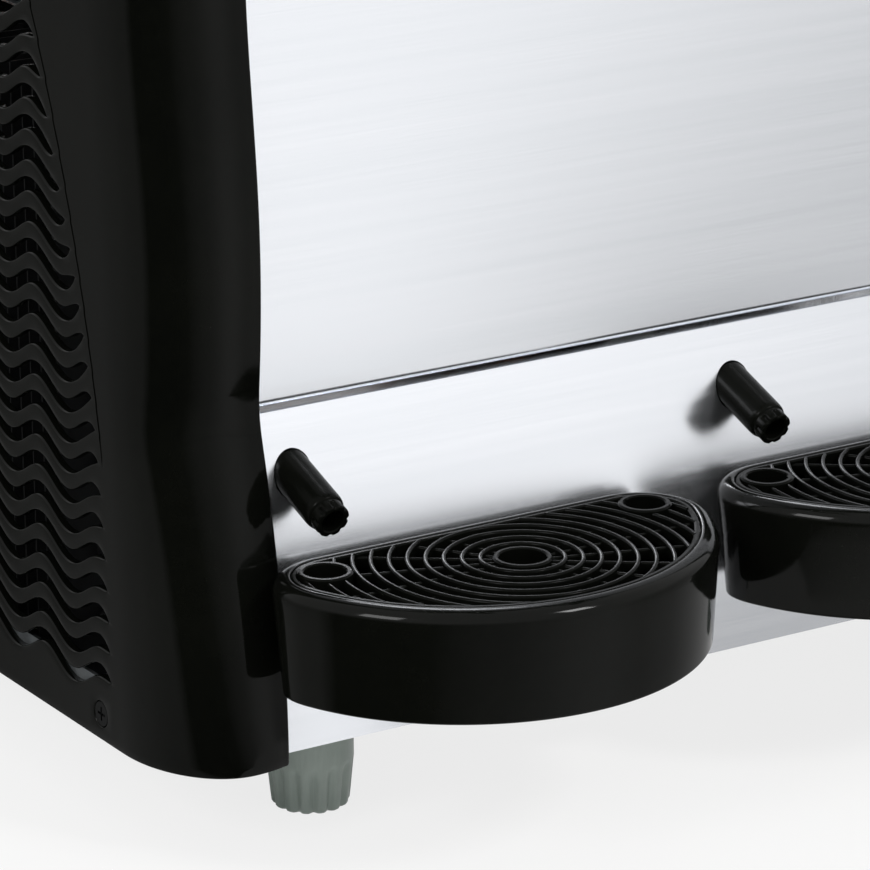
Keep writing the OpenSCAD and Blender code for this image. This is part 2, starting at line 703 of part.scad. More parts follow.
// Drain hoses from under the deck, down and round to the spouts
hose_y = barb_back + hose_bend;
hose_start = steel_y + 12;
module hose_places() both_bays() translate([-spout_side, hose_y, 0]) children();
module hose_run(r) pipe([[0, hose_start, spout_z], [0, hose_y, spout_z], [0, hose_y, deck_z]], r, hose_bend);
module drain_hoses() color("#d6d3c8") both_bays() translate([-spout_side, 0, 0]) difference() {
    hose_run(barb_r + hose_wall);
    hose_run(barb_r);
}

// Compressor: rounded pot on a base plate, with its two pipe stubs
plate_half = [66, 48];
module compressor() color("#1a1a1c") translate([comp[0], comp[1], comp_z]) {
    rotate_extrude() polygon([
        [0, 0], [comp_r - 16, 0], [comp_r - 5, 5], [comp_r, 16], [comp_r, 78], [comp_r + 3, 78],
        [comp_r + 3, 84], [comp_r, 84], [comp_r, comp_h - 32], [comp_r - 8, comp_h - 13],
        [comp_r - 24, comp_h - 3], [comp_r - 40, comp_h], [0, comp_h]
    ]);
    translate([0, 0, -3]) linear_extrude(3.5) rounded(-plate_half, plate_half, 10);
    translate([0, 30, comp_h - 12]) cylinder(h = 20, r = 4.2);
    translate([0, 0, 100]) rod_y(20, comp_r + 10, suction_r + 2);
    box([-22, -comp_r - 14, 30], [22, -comp_r + 20, 82]);
}

// Rubber mounts between the compressor's plate and the base pan
module compressor_mounts() color("#222222") for (x = [-1, 1], y = [-1, 1])
    translate([comp[0] + x * (plate_half[0] - 12), comp[1] + y * (plate_half[1] - 12), floor_z])
        rotate_extrude() polygon([
            [0, 0], [10, 0], [10, 4], [7.5, 6], [10, 8],
            [10, comp_z - 3 - floor_z], [0, comp_z - 3 - floor_z]
        ]);

// Condenser: fins on rows of tubes between two end plates that stand on the base pan
cond_x = (cond_lo[0] + cond_hi[0]) / 2;
fin_pitch = 8;
tube_pitch = 26;
tube_rows = 8;
tube_z = floor_z + 20;
module condenser() color("#b7b9bb") {
    for (y = [cond_lo[1] + fin_pitch : fin_pitch : cond_hi[1] - fin_pitch])
        box([cond_lo[0] + 2, y, floor_z + 8], [cond_hi[0] - 2, y + 0.8, cond_hi[2] - 4]);
    for (y = [cond_lo[1], cond_hi[1] - pan_t])
        box([cond_lo[0], y, floor_z], [cond_hi[0], y + pan_t, cond_hi[2]]);
    for (i = [0 : tube_rows - 1]) translate([cond_x, 0, tube_z + i * tube_pitch])
        rod_y(cond_lo[1] - 6, cond_hi[1] + 10, 4.2);
    translate([cond_x, cond_hi[1] + 5, tube_z + (tube_rows - 1) * tube_pitch]) cylinder(h = 20, r = 4.2);
}

// Fan shroud: plate against the condenser with a round duct
shroud_x = cond_hi[0];
module at_fan() translate([shroud_x, fan_y, fan_z]) children();
module fan_shroud() color("#2b2c2e") difference() {
    union() {
        box([shroud_x, cond_lo[1], floor_z], [shroud_x + pan_t, cond_hi[1], cond_hi[2]]);
        at_fan() rod_x(0, 24, fan_r + 6);
    }
    at_fan() rod_x(-1, 25, fan_r + 4);
}

// Condenser fan: five pitched blades on a hub, with its shaft
module fan_blade() color("#3a3c3e") at_fan() rotate([0, 90, 0]) {
    translate([0, 0, 5]) cylinder(h = 20, r = 18);
    translate([0, 0, 5]) cylinder(h = 50, r = 4);
    for (a = [0 : 72 : 359]) rotate(a) intersection() {
        translate([fan_r / 2 + 6, 0, 15]) rotate([34, 0, 0]) cube([fan_r, 34, 1.6], center = true);
        cylinder(h = 30, r = fan_r);
    }
}

// Fan motor on its bracket
module fan_motor() color("#55585b") {
    at_fan() difference() {
        union() {
            rod_x(36, 90, 28);
            rod_x(32, 36, 12);
        }
        rod_x(31, 60, 4 + running);
    }
    box([shroud_x + 56, fan_y - 14, floor_z], [shroud_x + 59, fan_y + 14, fan_z - 20]);
    box([shroud_x + 46, fan_y - 14, floor_z], [shroud_x + 80, fan_y + 14, floor_z + 2]);
}

// Filter drier in the liquid line
drier_x = [cond_x + 56, cond_x + 136];
drier_y = cond_hi[1] + 34;
module filter_drier() color("#b5713f") translate([drier_x[0], drier_y, tube_z]) rotate([0, 90, 0])
    rotate_extrude() polygon([
        [0, 0], [liquid_r + 1, 0], [liquid_r + 1, 6], [11, 16], [11, drier_x[1] - drier_x[0] - 16],
        [liquid_r + 1, drier_x[1] - drier_x[0] - 6], [liquid_r + 1, drier_x[1] - drier_x[0]],
        [0, drier_x[1] - drier_x[0]]
    ]);

// Copper pipes: discharge, liquid line with its two branches, and the two suction lines
discharge_r = 4.2;
module tee(at, r) translate(at) sphere(r = 1.75 * r);
module refrigerant_pipes() color("#b87333") {
    top = comp_z + comp_h + 64;
    stub = [cond_x, cond_hi[1] + 5, tube_z + (tube_rows - 1) * tube_pitch + 20];
    pipe([
        [comp[0], comp[1] + 30, comp_z + comp_h + 8], [comp[0], comp[1] + 30, top],
        [comp[0], stub[1], top], [stub[0], stub[1], top], stub
    ], discharge_r, 14);
    drop = axis_z - port_drop;
    branch_x = bay_x - port_side;
    pipe([
        [cond_x, cond_hi[1] + 10, tube_z], [cond_x, drier_y, tube_z], [drier_x[0], drier_y, tube_z]
    ], liquid_r, 12);
    pipe([
        [drier_x[1], drier_y, tube_z], [0, drier_y, tube_z], [0, duct_y, tube_z], [0, duct_y, drop]
    ], liquid_r, 12);
    tee([0, duct_y, drop], liquid_r);
    for (s = [-1, 1]) pipe([
        [s * 1.2 * liquid_r, duct_y, drop], [s * branch_x, duct_y, drop], [s * branch_x, bulkhead_y, drop]
    ], liquid_r, 12);
    low = comp_z + 100;
    joint = [bay_x, suction_y, low + 120];
    pipe([
        [bay_x, bulkhead_y, drop], [bay_x, suction_y, drop], [bay_x, suction_y, low],
        [bay_x, comp[1] + comp_r + 10, low]
    ], suction_r, 16);
    tee(joint, suction_r);
    pipe([
        [-bay_x, bulkhead_y, drop], [-bay_x, suction_y, drop], [-bay_x, suction_y, joint[2]],
        joint - [1.2 * suction_r, 0, 0]
    ], suction_r, 16);
}

// Outline of the motor housing, seen from the front, with round upper corners
housing_x = half_w - 4;
housing_r = 24;
module housing_outline(inset) {
    translate([-housing_x + inset, deck_top]) square([2 * (housing_x - inset), housing_h - housing_r]);
    translate([-housing_x + housing_r, deck_top]) square([2 * (housing_x - housing_r), housing_h - inset]);
    for (x = [-1, 1]) translate([x * (housing_x - housing_r), deck_top + housing_h - housing_r])
        circle(housing_r - inset);
}

// Bulkhead that carries the drums in front and the gear motors behind
module bulkhead() color(steel) difference() {
    along_y(bulkhead_y, bulkhead_y + bulkhead_t) housing_outline(0);
    both_bays() translate([0, 0, axis_z]) rod_y(bulkhead_y - 1, bulkhead_y + 10, shaft_r + 4);
    for (x = [-bay_x, port_side - bay_x, bay_x - port_side, bay_x]) translate([x, 0, axis_z - port_drop])
        rod_y(bulkhead_y - 1, bulkhead_y + 10, suction_r + 1.5);
}

// Motor cover: a moulded hood behind the bulkhead, with vent slots in its back
module motor_cover() color(black) difference() {
    along_y(bulkhead_y + bulkhead_t, y_rear) housing_outline(0);
    along_y(bulkhead_y + bulkhead_t - 1, y_rear - cover_t) {
        housing_outline(cover_t);
        translate([-housing_x + cover_t, deck_top - 5]) square([2 * (housing_x - cover_t), 10]);
    }
    along_y(y_rear - cover_t - 1, y_rear + 1) for (x = [-1, 1], i = [0 : 9])
        translate([x * bay_x, deck_top + 50 + i * vent_pitch])
            rounded(-vent_size / 2, vent_size / 2, vent_size[1] / 2 - 0.01);
}

// Freezing drums: thin stainless cylinders with a rear flange and a sleeve for the shaft
sleeve_r = shaft_r + 1;
skin_t = 1.5;
module at_axis() translate([0, 0, axis_z]) rotate([-90, 0, 0]) children();
module freezing_drums() color("#d3d6da") both_bays() at_axis() rotate_extrude() polygon([
    [sleeve_r, drum_front], [drum_r - 6, drum_front],
    [drum_r - 1.8, drum_front + 1.8], [drum_r, drum_front + 6],
    [drum_r, bulkhead_y - 14], [flange_r, bulkhead_y - 14], [flange_r, bulkhead_y],
    [drum_r - skin_t, bulkhead_y], [drum_r - skin_t, drum_front + 8], [drum_r - 8, drum_front + 3],
    [sleeve_r + 3, drum_front + 3], [sleeve_r + 3, bulkhead_y], [sleeve_r, bulkhead_y]
]);

// Rubber gaskets that seal the bowls' rear openings on the drums' flanges
module bowl_gaskets() color("#c9c4b6") both_bays() at_axis() rotate_extrude() polygon([
    [flange_r, bowl_back - 9], [port_r - clearance - 1, bowl_back - 9], [port_r - clearance, bowl_back - 7],
    [port_r - clearance, bowl_back - 1], [port_r - clearance - 1, bowl_back + 1], [flange_r, bowl_back + 1]
]);

// Gear motors on the back of the bulkhead
gearbox_half = [42, 35];
gearbox_d = 46;
motor_room = 20;
motor_z = axis_z + gearbox_half[1] - 2;
motor_h = deck_top + housing_h - cover_t - motor_room - motor_z;
module gear_motors() color("#7b7f83") both_bays() difference() {
    union() {
        translate([0, 0, axis_z]) along_y(bulkhead_y + bulkhead_t, bulkhead_y + bulkhead_t + gearbox_d)
            rounded(-gearbox_half, gearbox_half, 8);
        translate([0, bulkhead_y + bulkhead_t + 32, motor_z]) cylinder(h = motor_h, r = 29);
    }
    translate([0, 0, axis_z]) rod_y(bulkhead_y, bulkhead_y + bulkhead_t + gearbox_d + 1, shaft_r + running);
}

// Drive shaft from the gearbox through the drum to the auger's hub
hub_len = 16;
hub_front = drum_front - 2 - hub_len;
module drive_shaft() color("#c3c6ca") at_axis() translate([0, 0, hub_front - 4])
    cylinder(h = bulkhead_y + bulkhead_t + gearbox_d - hub_front, r = shaft_r);

// Auger: hub, three arms, a front and a rear hoop, and the helical ribbon between them
auger_end = bulkhead_y - 14 - ribbon_t;
rings_per_turn = 24;
auger_turns = (auger_end - 4 - hub_front - ribbon_t) / auger_lead;
ribbon_in = auger_in + 1.5;
ribbon_out = auger_out - 0.5;
function ribbon_ring(a) = let (y = hub_front + ribbon_t / 2 + 4 + auger_lead * a / 360) [
    for (p = [[ribbon_in, -1], [ribbon_out, -1], [ribbon_out, 1], [ribbon_in, 1]])
        [p[0] * cos(a), y + p[1] * ribbon_t / 2, axis_z + p[0] * sin(a)]
];
module hoop(y, h) at_axis() translate([0, 0, y]) difference() {
    cylinder(h = h, r = auger_out);
    translate([0, 0, -1]) cylinder(h = h + 2, r = auger_in);
}
module auger() color("#e9e7de") {
    difference() {
        at_axis() translate([0, 0, hub_front]) {
            cylinder(h = hub_len, r = 18);
            for (a = [30 : 120 : 359]) rotate(a) translate([0, -6, 2]) cube([auger_in + 4, 12, 10]);
        }
        at_axis() translate([0, 0, hub_front - 1]) cylinder(h = hub_len + 2, r = shaft_r);
    }
    hoop(hub_front + 1, ribbon_t + 5);
    hoop(auger_end - 5, 6);
    n = ceil(rings_per_turn * auger_turns);
    lofted([for (i = [0 : n]) ribbon_ring(360 * auger_turns * i / n)]);
}

// Cap that locks the auger on the shaft's front end
module auger_cap() color(black) at_axis() difference() {
    translate([0, 0, hub_front - 12]) union() {
        cylinder(h = 12, r = 13);
        for (a = [0, 60, 120]) rotate(a) translate([-15, -3, 0]) cube([30, 6, 10]);
    }
    translate([0, 0, hub_front - 4]) cylinder(h = 5, r = shaft_r);
}

// Bowl: a clear trough with a round bottom, its rear opening and the port to the tap in front
pad_x = 38;
module trough(r, rise) {
    circle(r);
    translate([-r, 0]) square([2 * r, rise]);
}
module bowl() color(clear) difference() {
    union() {
        translate([0, 0, axis_z]) along_y(bowl_front, bowl_back) trough(bowl_r, bowl_rise);
        for (s = [-1, 1])
            box([s * pad_x - 8, bowl_front + 24, deck_top], [s * pad_x + 8, bowl_back - 10, axis_z - 50]);
    }
    translate([0, 0, axis_z]) {
        along_y(bowl_front + bowl_wall, bowl_back - bowl_wall) trough(bowl_in, bowl_rise + 1);
        rod_y(bowl_back - bowl_wall - 1, bowl_back + 1, port_r);
    }
    translate([0, 0, port_z]) rod_y(bowl_front - 1, bowl_front + bowl_wall + 1, outlet_r);
}

// Tap barrel, bonded on the bowl's front wall: the piston's bore, the port, the outlet and two ears
module tap_barrel() color(clear) difference() {
    union() {
        translate([0, tap_y, seat_z]) cylinder(h = barrel_top - seat_z, r = tap_r);
        translate([0, tap_y, seat_z - 20]) cylinder(h = 21, r = outlet_r + 3.5);
        box([-tap_bore_r, tap_y, port_z - tap_bore_r], [tap_bore_r, bowl_front, port_z + tap_bore_r]);
        both_sides() {
            box([ear_x, pivot_y, cross_z - 28], [ear_x + ear_t, tap_y, cross_z + 7]);
            translate([0, pivot_y, cross_z]) rod_x(ear_x, ear_x + ear_t, 7);
        }
    }
    translate([0, 0, port_z]) rod_y(tap_y, bowl_front + 1, outlet_r);
    translate([0, tap_y, seat_z + 3]) cylinder(h = 100, r = tap_bore_r);
    translate([0, tap_y, barrel_top - cap_t]) cylinder(h = 100, r = tap_bore_r + 1);
    translate([0, tap_y, seat_z - 30]) cylinder(h = 60, r = outlet_r);
    translate([0, pivot_y, cross_z]) rod_x(-40, 40, pin_r);
}

// Tap cap that closes the barrel round the piston's stem
cap_t = 5;
stem_r = 5;
module tap_cap() color(black) translate([0, tap_y, barrel_top - cap_t]) difference() {
    cylinder(h = cap_t, r = tap_bore_r + 1);
    translate([0, 0, -1]) cylinder(h = cap_t + 2, r = stem_r + clearance);
}

// Tap piston with two seal grooves, its stem and the cross pin
module tap_piston() color("#f0efe9") translate([0, tap_y, 0]) {
    r = tap_bore_r - clearance;
    z0 = port_z - outlet_r - seal_lap;
    rotate_extrude() polygon([
        [0, z0], [r - 1, z0], [r, z0 + 1], [r, z0 + 5], [r - 1.5, z0 + 5], [r - 1.5, z0 + 8], [r, z0 + 8],
        [r, piston_top - 9], [r - 1.5, piston_top - 9], [r - 1.5, piston_top - 6], [r, piston_top - 6],
        [r, piston_top], [stem_r, piston_top], [stem_r, cross_z + 5], [0, cross_z + 5]
    ]);
    translate([0, 0, cross_z]) rod_x(-lever_w / 2 + 1, lever_w / 2 - 1, pin_r);
}

// Tap spring between the piston and the cap, and the least gap between its curls
coil_r = 10;
wire_r = 1;
curls = 4;
rings_per_curl = 8;
spring_z = [piston_top + wire_r + clearance, barrel_top - cap_t - wire_r - clearance];
function coil_z(a) = spring_z[0] + (spring_z[1] - spring_z[0]) * a / (360 * curls);
function coil_at(a) = [coil_r * cos(a), coil_r * sin(a), coil_z(a)];
function wire_ring(a) = [for (k = [0 : 5]) let (t = 60 * k)
    coil_at(a) + wire_r * cos(t) * [cos(a), sin(a), 0] + wire_r * sin(t) * [0, 0, 1]];
coil_points = [for (i = [0 : curls * rings_per_curl]) coil_at(360 * i / rings_per_curl)];
spring_gap = min([for (i = [0 : len(coil_points) - 1], j = [i + rings_per_curl / 2 : len(coil_points) - 1])
    norm(coil_points[i] - coil_points[j])]) - 2 * wire_r;
echo(spring_gap = spring_gap);
module tap_spring() color("#aeb2b6") translate([0, tap_y, 0])
    lofted([for (i = [curls * rings_per_curl : -1 : 0]) wire_ring(360 * i / rings_per_curl)]);

// Pivot pin of the lever, held in the barrel's ears
module tap_pin() color("#c3c6ca") translate([0, pivot_y, cross_z]) rod_x(-ear_x - ear_t, ear_x + ear_t, pin_r);

// Tap lever: a fork over the piston's cross pin, and a handle that slopes down in front; the fork's
// slot runs on behind the pin, which moves out along the arm as the lever turns
handle_slope = 20;
handle_t = 9;
module tap_lever() color(black) difference() {
    along_x(-lever_w / 2, lever_w / 2) difference() {
        union() {
            translate([pivot_y, cross_z]) circle(7);
            translate([pivot_y, cross_z - 6]) square([pivot_reach + 2, 12]);
            translate([tap_y + 2, cross_z]) circle(6);
            translate([pivot_y, cross_z]) rotate(180 + handle_slope) {
                translate([0, -handle_t / 2]) square([handle_len, handle_t]);
                translate([handle_len, 0]) circle(handle_t / 2);
            }
        }
        translate([pivot_y, cross_z]) circle(pin_r + running);
        translate([tap_y - pin_r - 1.5, cross_z - pin_r - 0.9]) square([2 * pin_r + 4, 2 * pin_r + 1.8]);
    }
    box([-stem_r - 1, pivot_y + 9, cross_z - 20], [stem_r + 1, tap_y + 20, cross_z + 20]);
}

// Lid: skirt round the bowl's rim, sloped crown and a grip
lid_half = bay_x - clearance;
skirt_drop = 12;
lid_lo = [-lid_half, bowl_front - clearance - lid_t];
lid_hi = [lid_half, bowl_back + clearance + lid_t];
lid_r = 10;
crown_in = 16;
module crown(inset, h) hull() {
    translate([0, 0, rim_z]) linear_extrude(6)
        rounded(lid_lo + [inset, inset], lid_hi - [inset, inset], lid_r, $fn = 32);
    translate([0, 0, rim_z + h - 1]) linear_extrude(1)
        rounded(lid_lo + (inset + crown_in) * [1, 1], lid_hi - (inset + crown_in) * [1, 1], lid_r, $fn = 32);
}
module lid() color(black) {
    difference() {
        crown(0, lid_h);
        translate([0, 0, -0.5]) crown(lid_half - bowl_in, lid_h - lid_t);
    }
    translate([0, 0, rim_z - skirt_drop]) linear_extrude(skirt_drop) difference() {
        rounded(lid_lo, lid_hi, lid_r);
        translate([-bowl_r - clearance, bowl_front - clearance])
            square([2 * (bowl_r + clearance), bowl_len + 2 * clearance]);
    }
    translate([0, (bowl_front + bowl_back) / 2, rim_z + lid_h]) linear_extrude(8)
        rounded([-32, -7], [32, 7], 6.9);
}

// Drip tray: D-shaped pan with a round rim, a ledge for the grille and two tongues behind
tray_r = tray_d / 2;
tray_z = tray_top_z - tray_h;
tray_mid = y_front + tray_r;
rim_land = 0.3;
mouth_r = tray_r + rim_land - rim_r;
ledge_t = 2;
well_in = tray_draft + tray_wall;
module tray_half() {
    polygon([
        [0, 0], [tray_r - tray_draft - 1, 0], [tray_r - tray_draft, 1], [mouth_r + rim_r, tray_h - rim_r],
        [mouth_r, tray_h - rim_r], [mouth_r, tray_h], [0, tray_h]
    ]);
    translate([mouth_r, tray_h - rim_r]) intersection() {
        circle(rim_r);
        square(rim_r);
    }
}
// Carries a half section round the front arc and along the straight sides
module d_solid() {
    translate([0, tray_mid, tray_z]) rotate(180) rotate_extrude(angle = 180) children();
    for (s = [0, 1]) mirror([s, 0, 0]) translate([0, 0, tray_z]) along_y(tray_mid, tray_back) children();
}
// Plan of a tray drawn in by the inset: a disc cut off at the back, its corners rounded
module d_plan(inset) offset(r = tray_corner - inset) offset(delta = -tray_corner) intersection() {
    translate([0, tray_mid]) circle(tray_r);
    translate([-tray_r, y_front]) square([tray_d, tray_len]);
}
// Side view that slopes the back wall below a given height, drawn in by the inset
module back_view(inset, below) along_x(-tray_d, tray_d) polygon([
    [y_front - 1, tray_z - 1], [tray_back - back_slope - inset, tray_z - 1],
    [tray_back - inset, below], [tray_back - inset, tray_top_z + 2], [y_front - 1, tray_top_z + 2]
]);
// Outside of a tray: the carried section, trimmed to the plan by the rim's narrow land
module tray_body() intersection() {
    d_solid() tray_half();
    translate([0, 0, tray_z - 1]) linear_extrude(tray_h + 3) d_plan(0);
    back_view(0, tray_top_z - rim_r);
}
// Hollow of a tray: seat of the grille, opening inside its ledge and the well below
module tray_hollow() {
    translate([0, 0, tray_top_z - grille_t]) linear_extrude(grille_t + 1) d_plan(rim_r);
    translate([0, 0, tray_top_z - grille_t - ledge_t - 1]) linear_extrude(ledge_t + 2) d_plan(rim_r + 3);
    intersection() {
        translate([0, 0, tray_z + tray_wall]) linear_extrude(tray_h - grille_t - ledge_t - tray_wall)
            d_plan(well_in);
        back_view(well_in, tray_top_z);
    }
}
tongue_z = tray_z + tray_h / 2;
tongue_x = 40;
tongue_half = [9, 4];
tongue_back = lower_y(tongue_z) + 9;
module tray_tongues(grow) for (x = [-tongue_x, tongue_x]) box(
    [x - tongue_half[0] - grow, tray_back - back_slope, tongue_z - tongue_half[1] - grow],
    [x + tongue_half[0] + grow, tongue_back, tongue_z + tongue_half[1] + grow]);
module drip_tray() color(black) difference() {
    union() {
        tray_body();
        tray_tongues(0);
    }
    tray_hollow();
}

// Drip grille: frame, rings about the drain hole, spokes below them and two finger holes
grille_in = rim_r + clearance;
finger_at = [[-63, tray_back - 19], [63, tray_back - 19]];
ring_count = floor(norm([mouth_r, drain_y]) / ring_pitch) - 2;
module annulus(r0, r1) difference() {
    circle(r1);
    circle(r0);
}
module drip_grille() color(black) translate([0, 0, tray_top_z - grille_t]) difference() {
    union() {
        linear_extrude(grille_t) difference() {
            d_plan(grille_in);
            d_plan(grille_in + 2);
        }
        translate([0, 0, grille_t - 3.4]) linear_extrude(3.4) intersection() {
            d_plan(grille_in + 1);
            translate([0, tap_y]) for (i = [1 : ring_count])
                annulus(drain_r + i * ring_pitch - ring_w / 2, drain_r + i * ring_pitch + ring_w / 2);
        }
        translate([0, 0, 1]) linear_extrude(grille_t - 2.8) intersection() {
            d_plan(grille_in + 1);
            translate([0, tap_y]) for (i = [0 : spokes - 1]) rotate(360 * i / spokes)
                translate([drain_r, -0.7]) square([mouth_r + drain_y, 1.4]);
        }
        translate([0, tap_y, 0]) linear_extrude(grille_t) circle(drain_r + 1.8);
        for (p = finger_at) translate(p) linear_extrude(grille_t + 0.8) circle(finger_r + 2.2);
    }
    translate([0, tap_y, -1]) cylinder(h = grille_t + 3, r = drain_r);
    for (p = finger_at) translate([p[0], p[1], -1]) cylinder(h = grille_t + 4, r = finger_r);
}

// Pieces of the left and the right bay
module left_bay() translate([-bay_x, 0, 0]) children();
module right_bay() translate([bay_x, 0, 0]) children();
module drive_shaft_left() left_bay() drive_shaft();
module drive_shaft_right() right_bay() drive_shaft();
module auger_left() left_bay() auger();
module auger_right() right_bay() auger();
module auger_cap_left() left_bay() auger_cap();
module auger_cap_right() right_bay() auger_cap();
module bowl_left() left_bay() bowl();
module bowl_right() right_bay() bowl();
module tap_barrel_left() left_bay() tap_barrel();
module tap_barrel_right() right_bay() tap_barrel();
module tap_cap_left() left_bay() tap_cap();
module tap_cap_right() right_bay() tap_cap();
module tap_spring_left() left_bay() tap_spring();
module tap_spring_right() right_bay() tap_spring();
module tap_piston_left() left_bay() tap_piston();
module tap_piston_right() right_bay() tap_piston();
module tap_pin_left() left_bay() tap_pin();
module tap_pin_right() right_bay() tap_pin();
module tap_lever_left() left_bay() tap_lever();
module tap_lever_right() right_bay() tap_lever();
module lid_left() left_bay() lid();
module lid_right() right_bay() lid();
module drip_tray_left() left_bay() drip_tray();
module drip_tray_right() right_bay() drip_tray();
module drip_grille_left() left_bay() drip_grille();
module drip_grille_right() right_bay() drip_grille();

base_pan();
chassis_posts();
front_panel_lower();
front_panel_upper();
side_panel_left();
side_panel_right();
rear_panel();
top_deck();
control_fascia();
bulkhead();
motor_cover();
panel_screws();
mains_inlet();
foot_front_left();
foot_front_right();
foot_rear_left();
foot_rear_right();
drain_spouts();
drain_hoses();
compressor();
compressor_mounts();
condenser();
fan_shroud();
fan_motor();
fan_blade();
filter_drier();
refrigerant_pipes();
freezing_drums();
bowl_gaskets();
gear_motors();
drive_shaft_left();
drive_shaft_right();
auger_left();
auger_right();
auger_cap_left();
auger_cap_right();
bowl_left();
bowl_right();
tap_barrel_left();
tap_barrel_right();
tap_cap_left();
tap_cap_right();
tap_spring_left();
tap_spring_right();
tap_piston_left();
tap_piston_right();
tap_pin_left();
tap_pin_right();
tap_lever_left();
tap_lever_right();
lid_left();
lid_right();
drip_tray_left();
drip_tray_right();
drip_grille_left();
drip_grille_right();
switch_bodies();
rocker_left();
rocker_power();
rocker_right();
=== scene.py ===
"""Looks of a counter-top slush machine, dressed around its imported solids.

Lengths are in millimetres until a mesh is made; the scene itself is in metres.
"""
import json
import math

import bpy
import numpy as np
from mathutils import Matrix, Vector


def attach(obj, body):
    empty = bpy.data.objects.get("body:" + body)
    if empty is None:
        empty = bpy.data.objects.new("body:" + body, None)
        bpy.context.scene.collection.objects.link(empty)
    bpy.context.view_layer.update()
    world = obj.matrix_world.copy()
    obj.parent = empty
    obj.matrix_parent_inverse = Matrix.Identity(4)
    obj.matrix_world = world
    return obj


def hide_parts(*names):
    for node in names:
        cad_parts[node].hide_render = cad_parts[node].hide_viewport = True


MM = 0.001

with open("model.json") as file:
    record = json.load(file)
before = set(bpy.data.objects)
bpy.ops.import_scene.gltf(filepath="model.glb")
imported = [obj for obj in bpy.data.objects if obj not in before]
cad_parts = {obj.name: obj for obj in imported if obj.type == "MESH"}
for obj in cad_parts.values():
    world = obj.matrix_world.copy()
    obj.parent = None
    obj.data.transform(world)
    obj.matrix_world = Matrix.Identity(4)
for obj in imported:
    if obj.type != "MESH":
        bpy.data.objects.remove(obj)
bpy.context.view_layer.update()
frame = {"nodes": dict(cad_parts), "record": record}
nodes = frame["nodes"]


# Camera: the point it looks at, its distance, its angles in degrees and its lens
LOOK_AT, CAMERA_AWAY = (-97.16, -136.0, 133.74), 1593
AZIMUTH, ELEVATION, ROLL = -32.04, 18.15, -0.32
SENSOR_MM, LENS_MM = 36, 198.6


def place_camera():
    """Long lens, low on the front left corner; the small roll levels it as photographed."""
    target = Vector(LOOK_AT) * MM
    azimuth, elevation, roll = (math.radians(a) for a in (AZIMUTH, ELEVATION, ROLL))
    away = Vector((math.sin(azimuth) * math.cos(elevation),
                   -math.cos(azimuth) * math.cos(elevation), math.sin(elevation)))
    ahead = -away
    level = ahead.cross(Vector((0, 0, 1))).normalized()
    upright = level.cross(ahead)
    right = level * math.cos(roll) + upright * math.sin(roll)
    up = upright * math.cos(roll) - level * math.sin(roll)
    data = bpy.data.cameras.new("camera")
    data.sensor_width = SENSOR_MM
    data.lens = LENS_MM
    data.clip_start, data.clip_end = 0.05, 50
    camera = bpy.data.objects.new("camera", data)
    turn = Matrix((right, up, away)).transposed()
    camera.matrix_world = Matrix.Translation(target + away * CAMERA_AWAY * MM) @ turn.to_4x4()
    bpy.context.scene.collection.objects.link(camera)
    bpy.context.scene.camera = camera


place_camera()


# Materials
def linear(code):
    """Linear colour of an sRGB hex code."""
    srgb = [int(code[i:i + 2], 16) / 255 for i in (1, 3, 5)]
    return [c / 12.92 if c <= 0.04045 else ((c + 0.055) / 1.055) ** 2.4 for c in srgb] + [1.0]


def add(tree, kind, sets=None, **links):
    """One node: sets gives its properties and socket values, links its incoming sockets by name, or
    by number as i0, i1 and so on."""
    node = tree.nodes.new(kind)
    for key, value in (sets or {}).items():
        if isinstance(key, str) and hasattr(node, key):
            setattr(node, key, value)
        else:
            node.inputs[key].default_value = value
    for key, source in links.items():
        numbered = key[0] == "i" and key[1:].isdigit()
        tree.links.new(source, node.inputs[int(key[1:]) if numbered else key.replace("_", " ")])
    return node


def start(name):
    """An empty material with its shader and its object coordinates."""
    material = bpy.data.materials.new(name)
    material.use_nodes = True
    tree = material.node_tree
    tree.nodes.clear()
    shader = add(tree, "ShaderNodeBsdfPrincipled")
    add(tree, "ShaderNodeOutputMaterial", Surface=shader.outputs["BSDF"])
    place = add(tree, "ShaderNodeTexCoord").outputs["Object"]
    return material, tree, shader, place


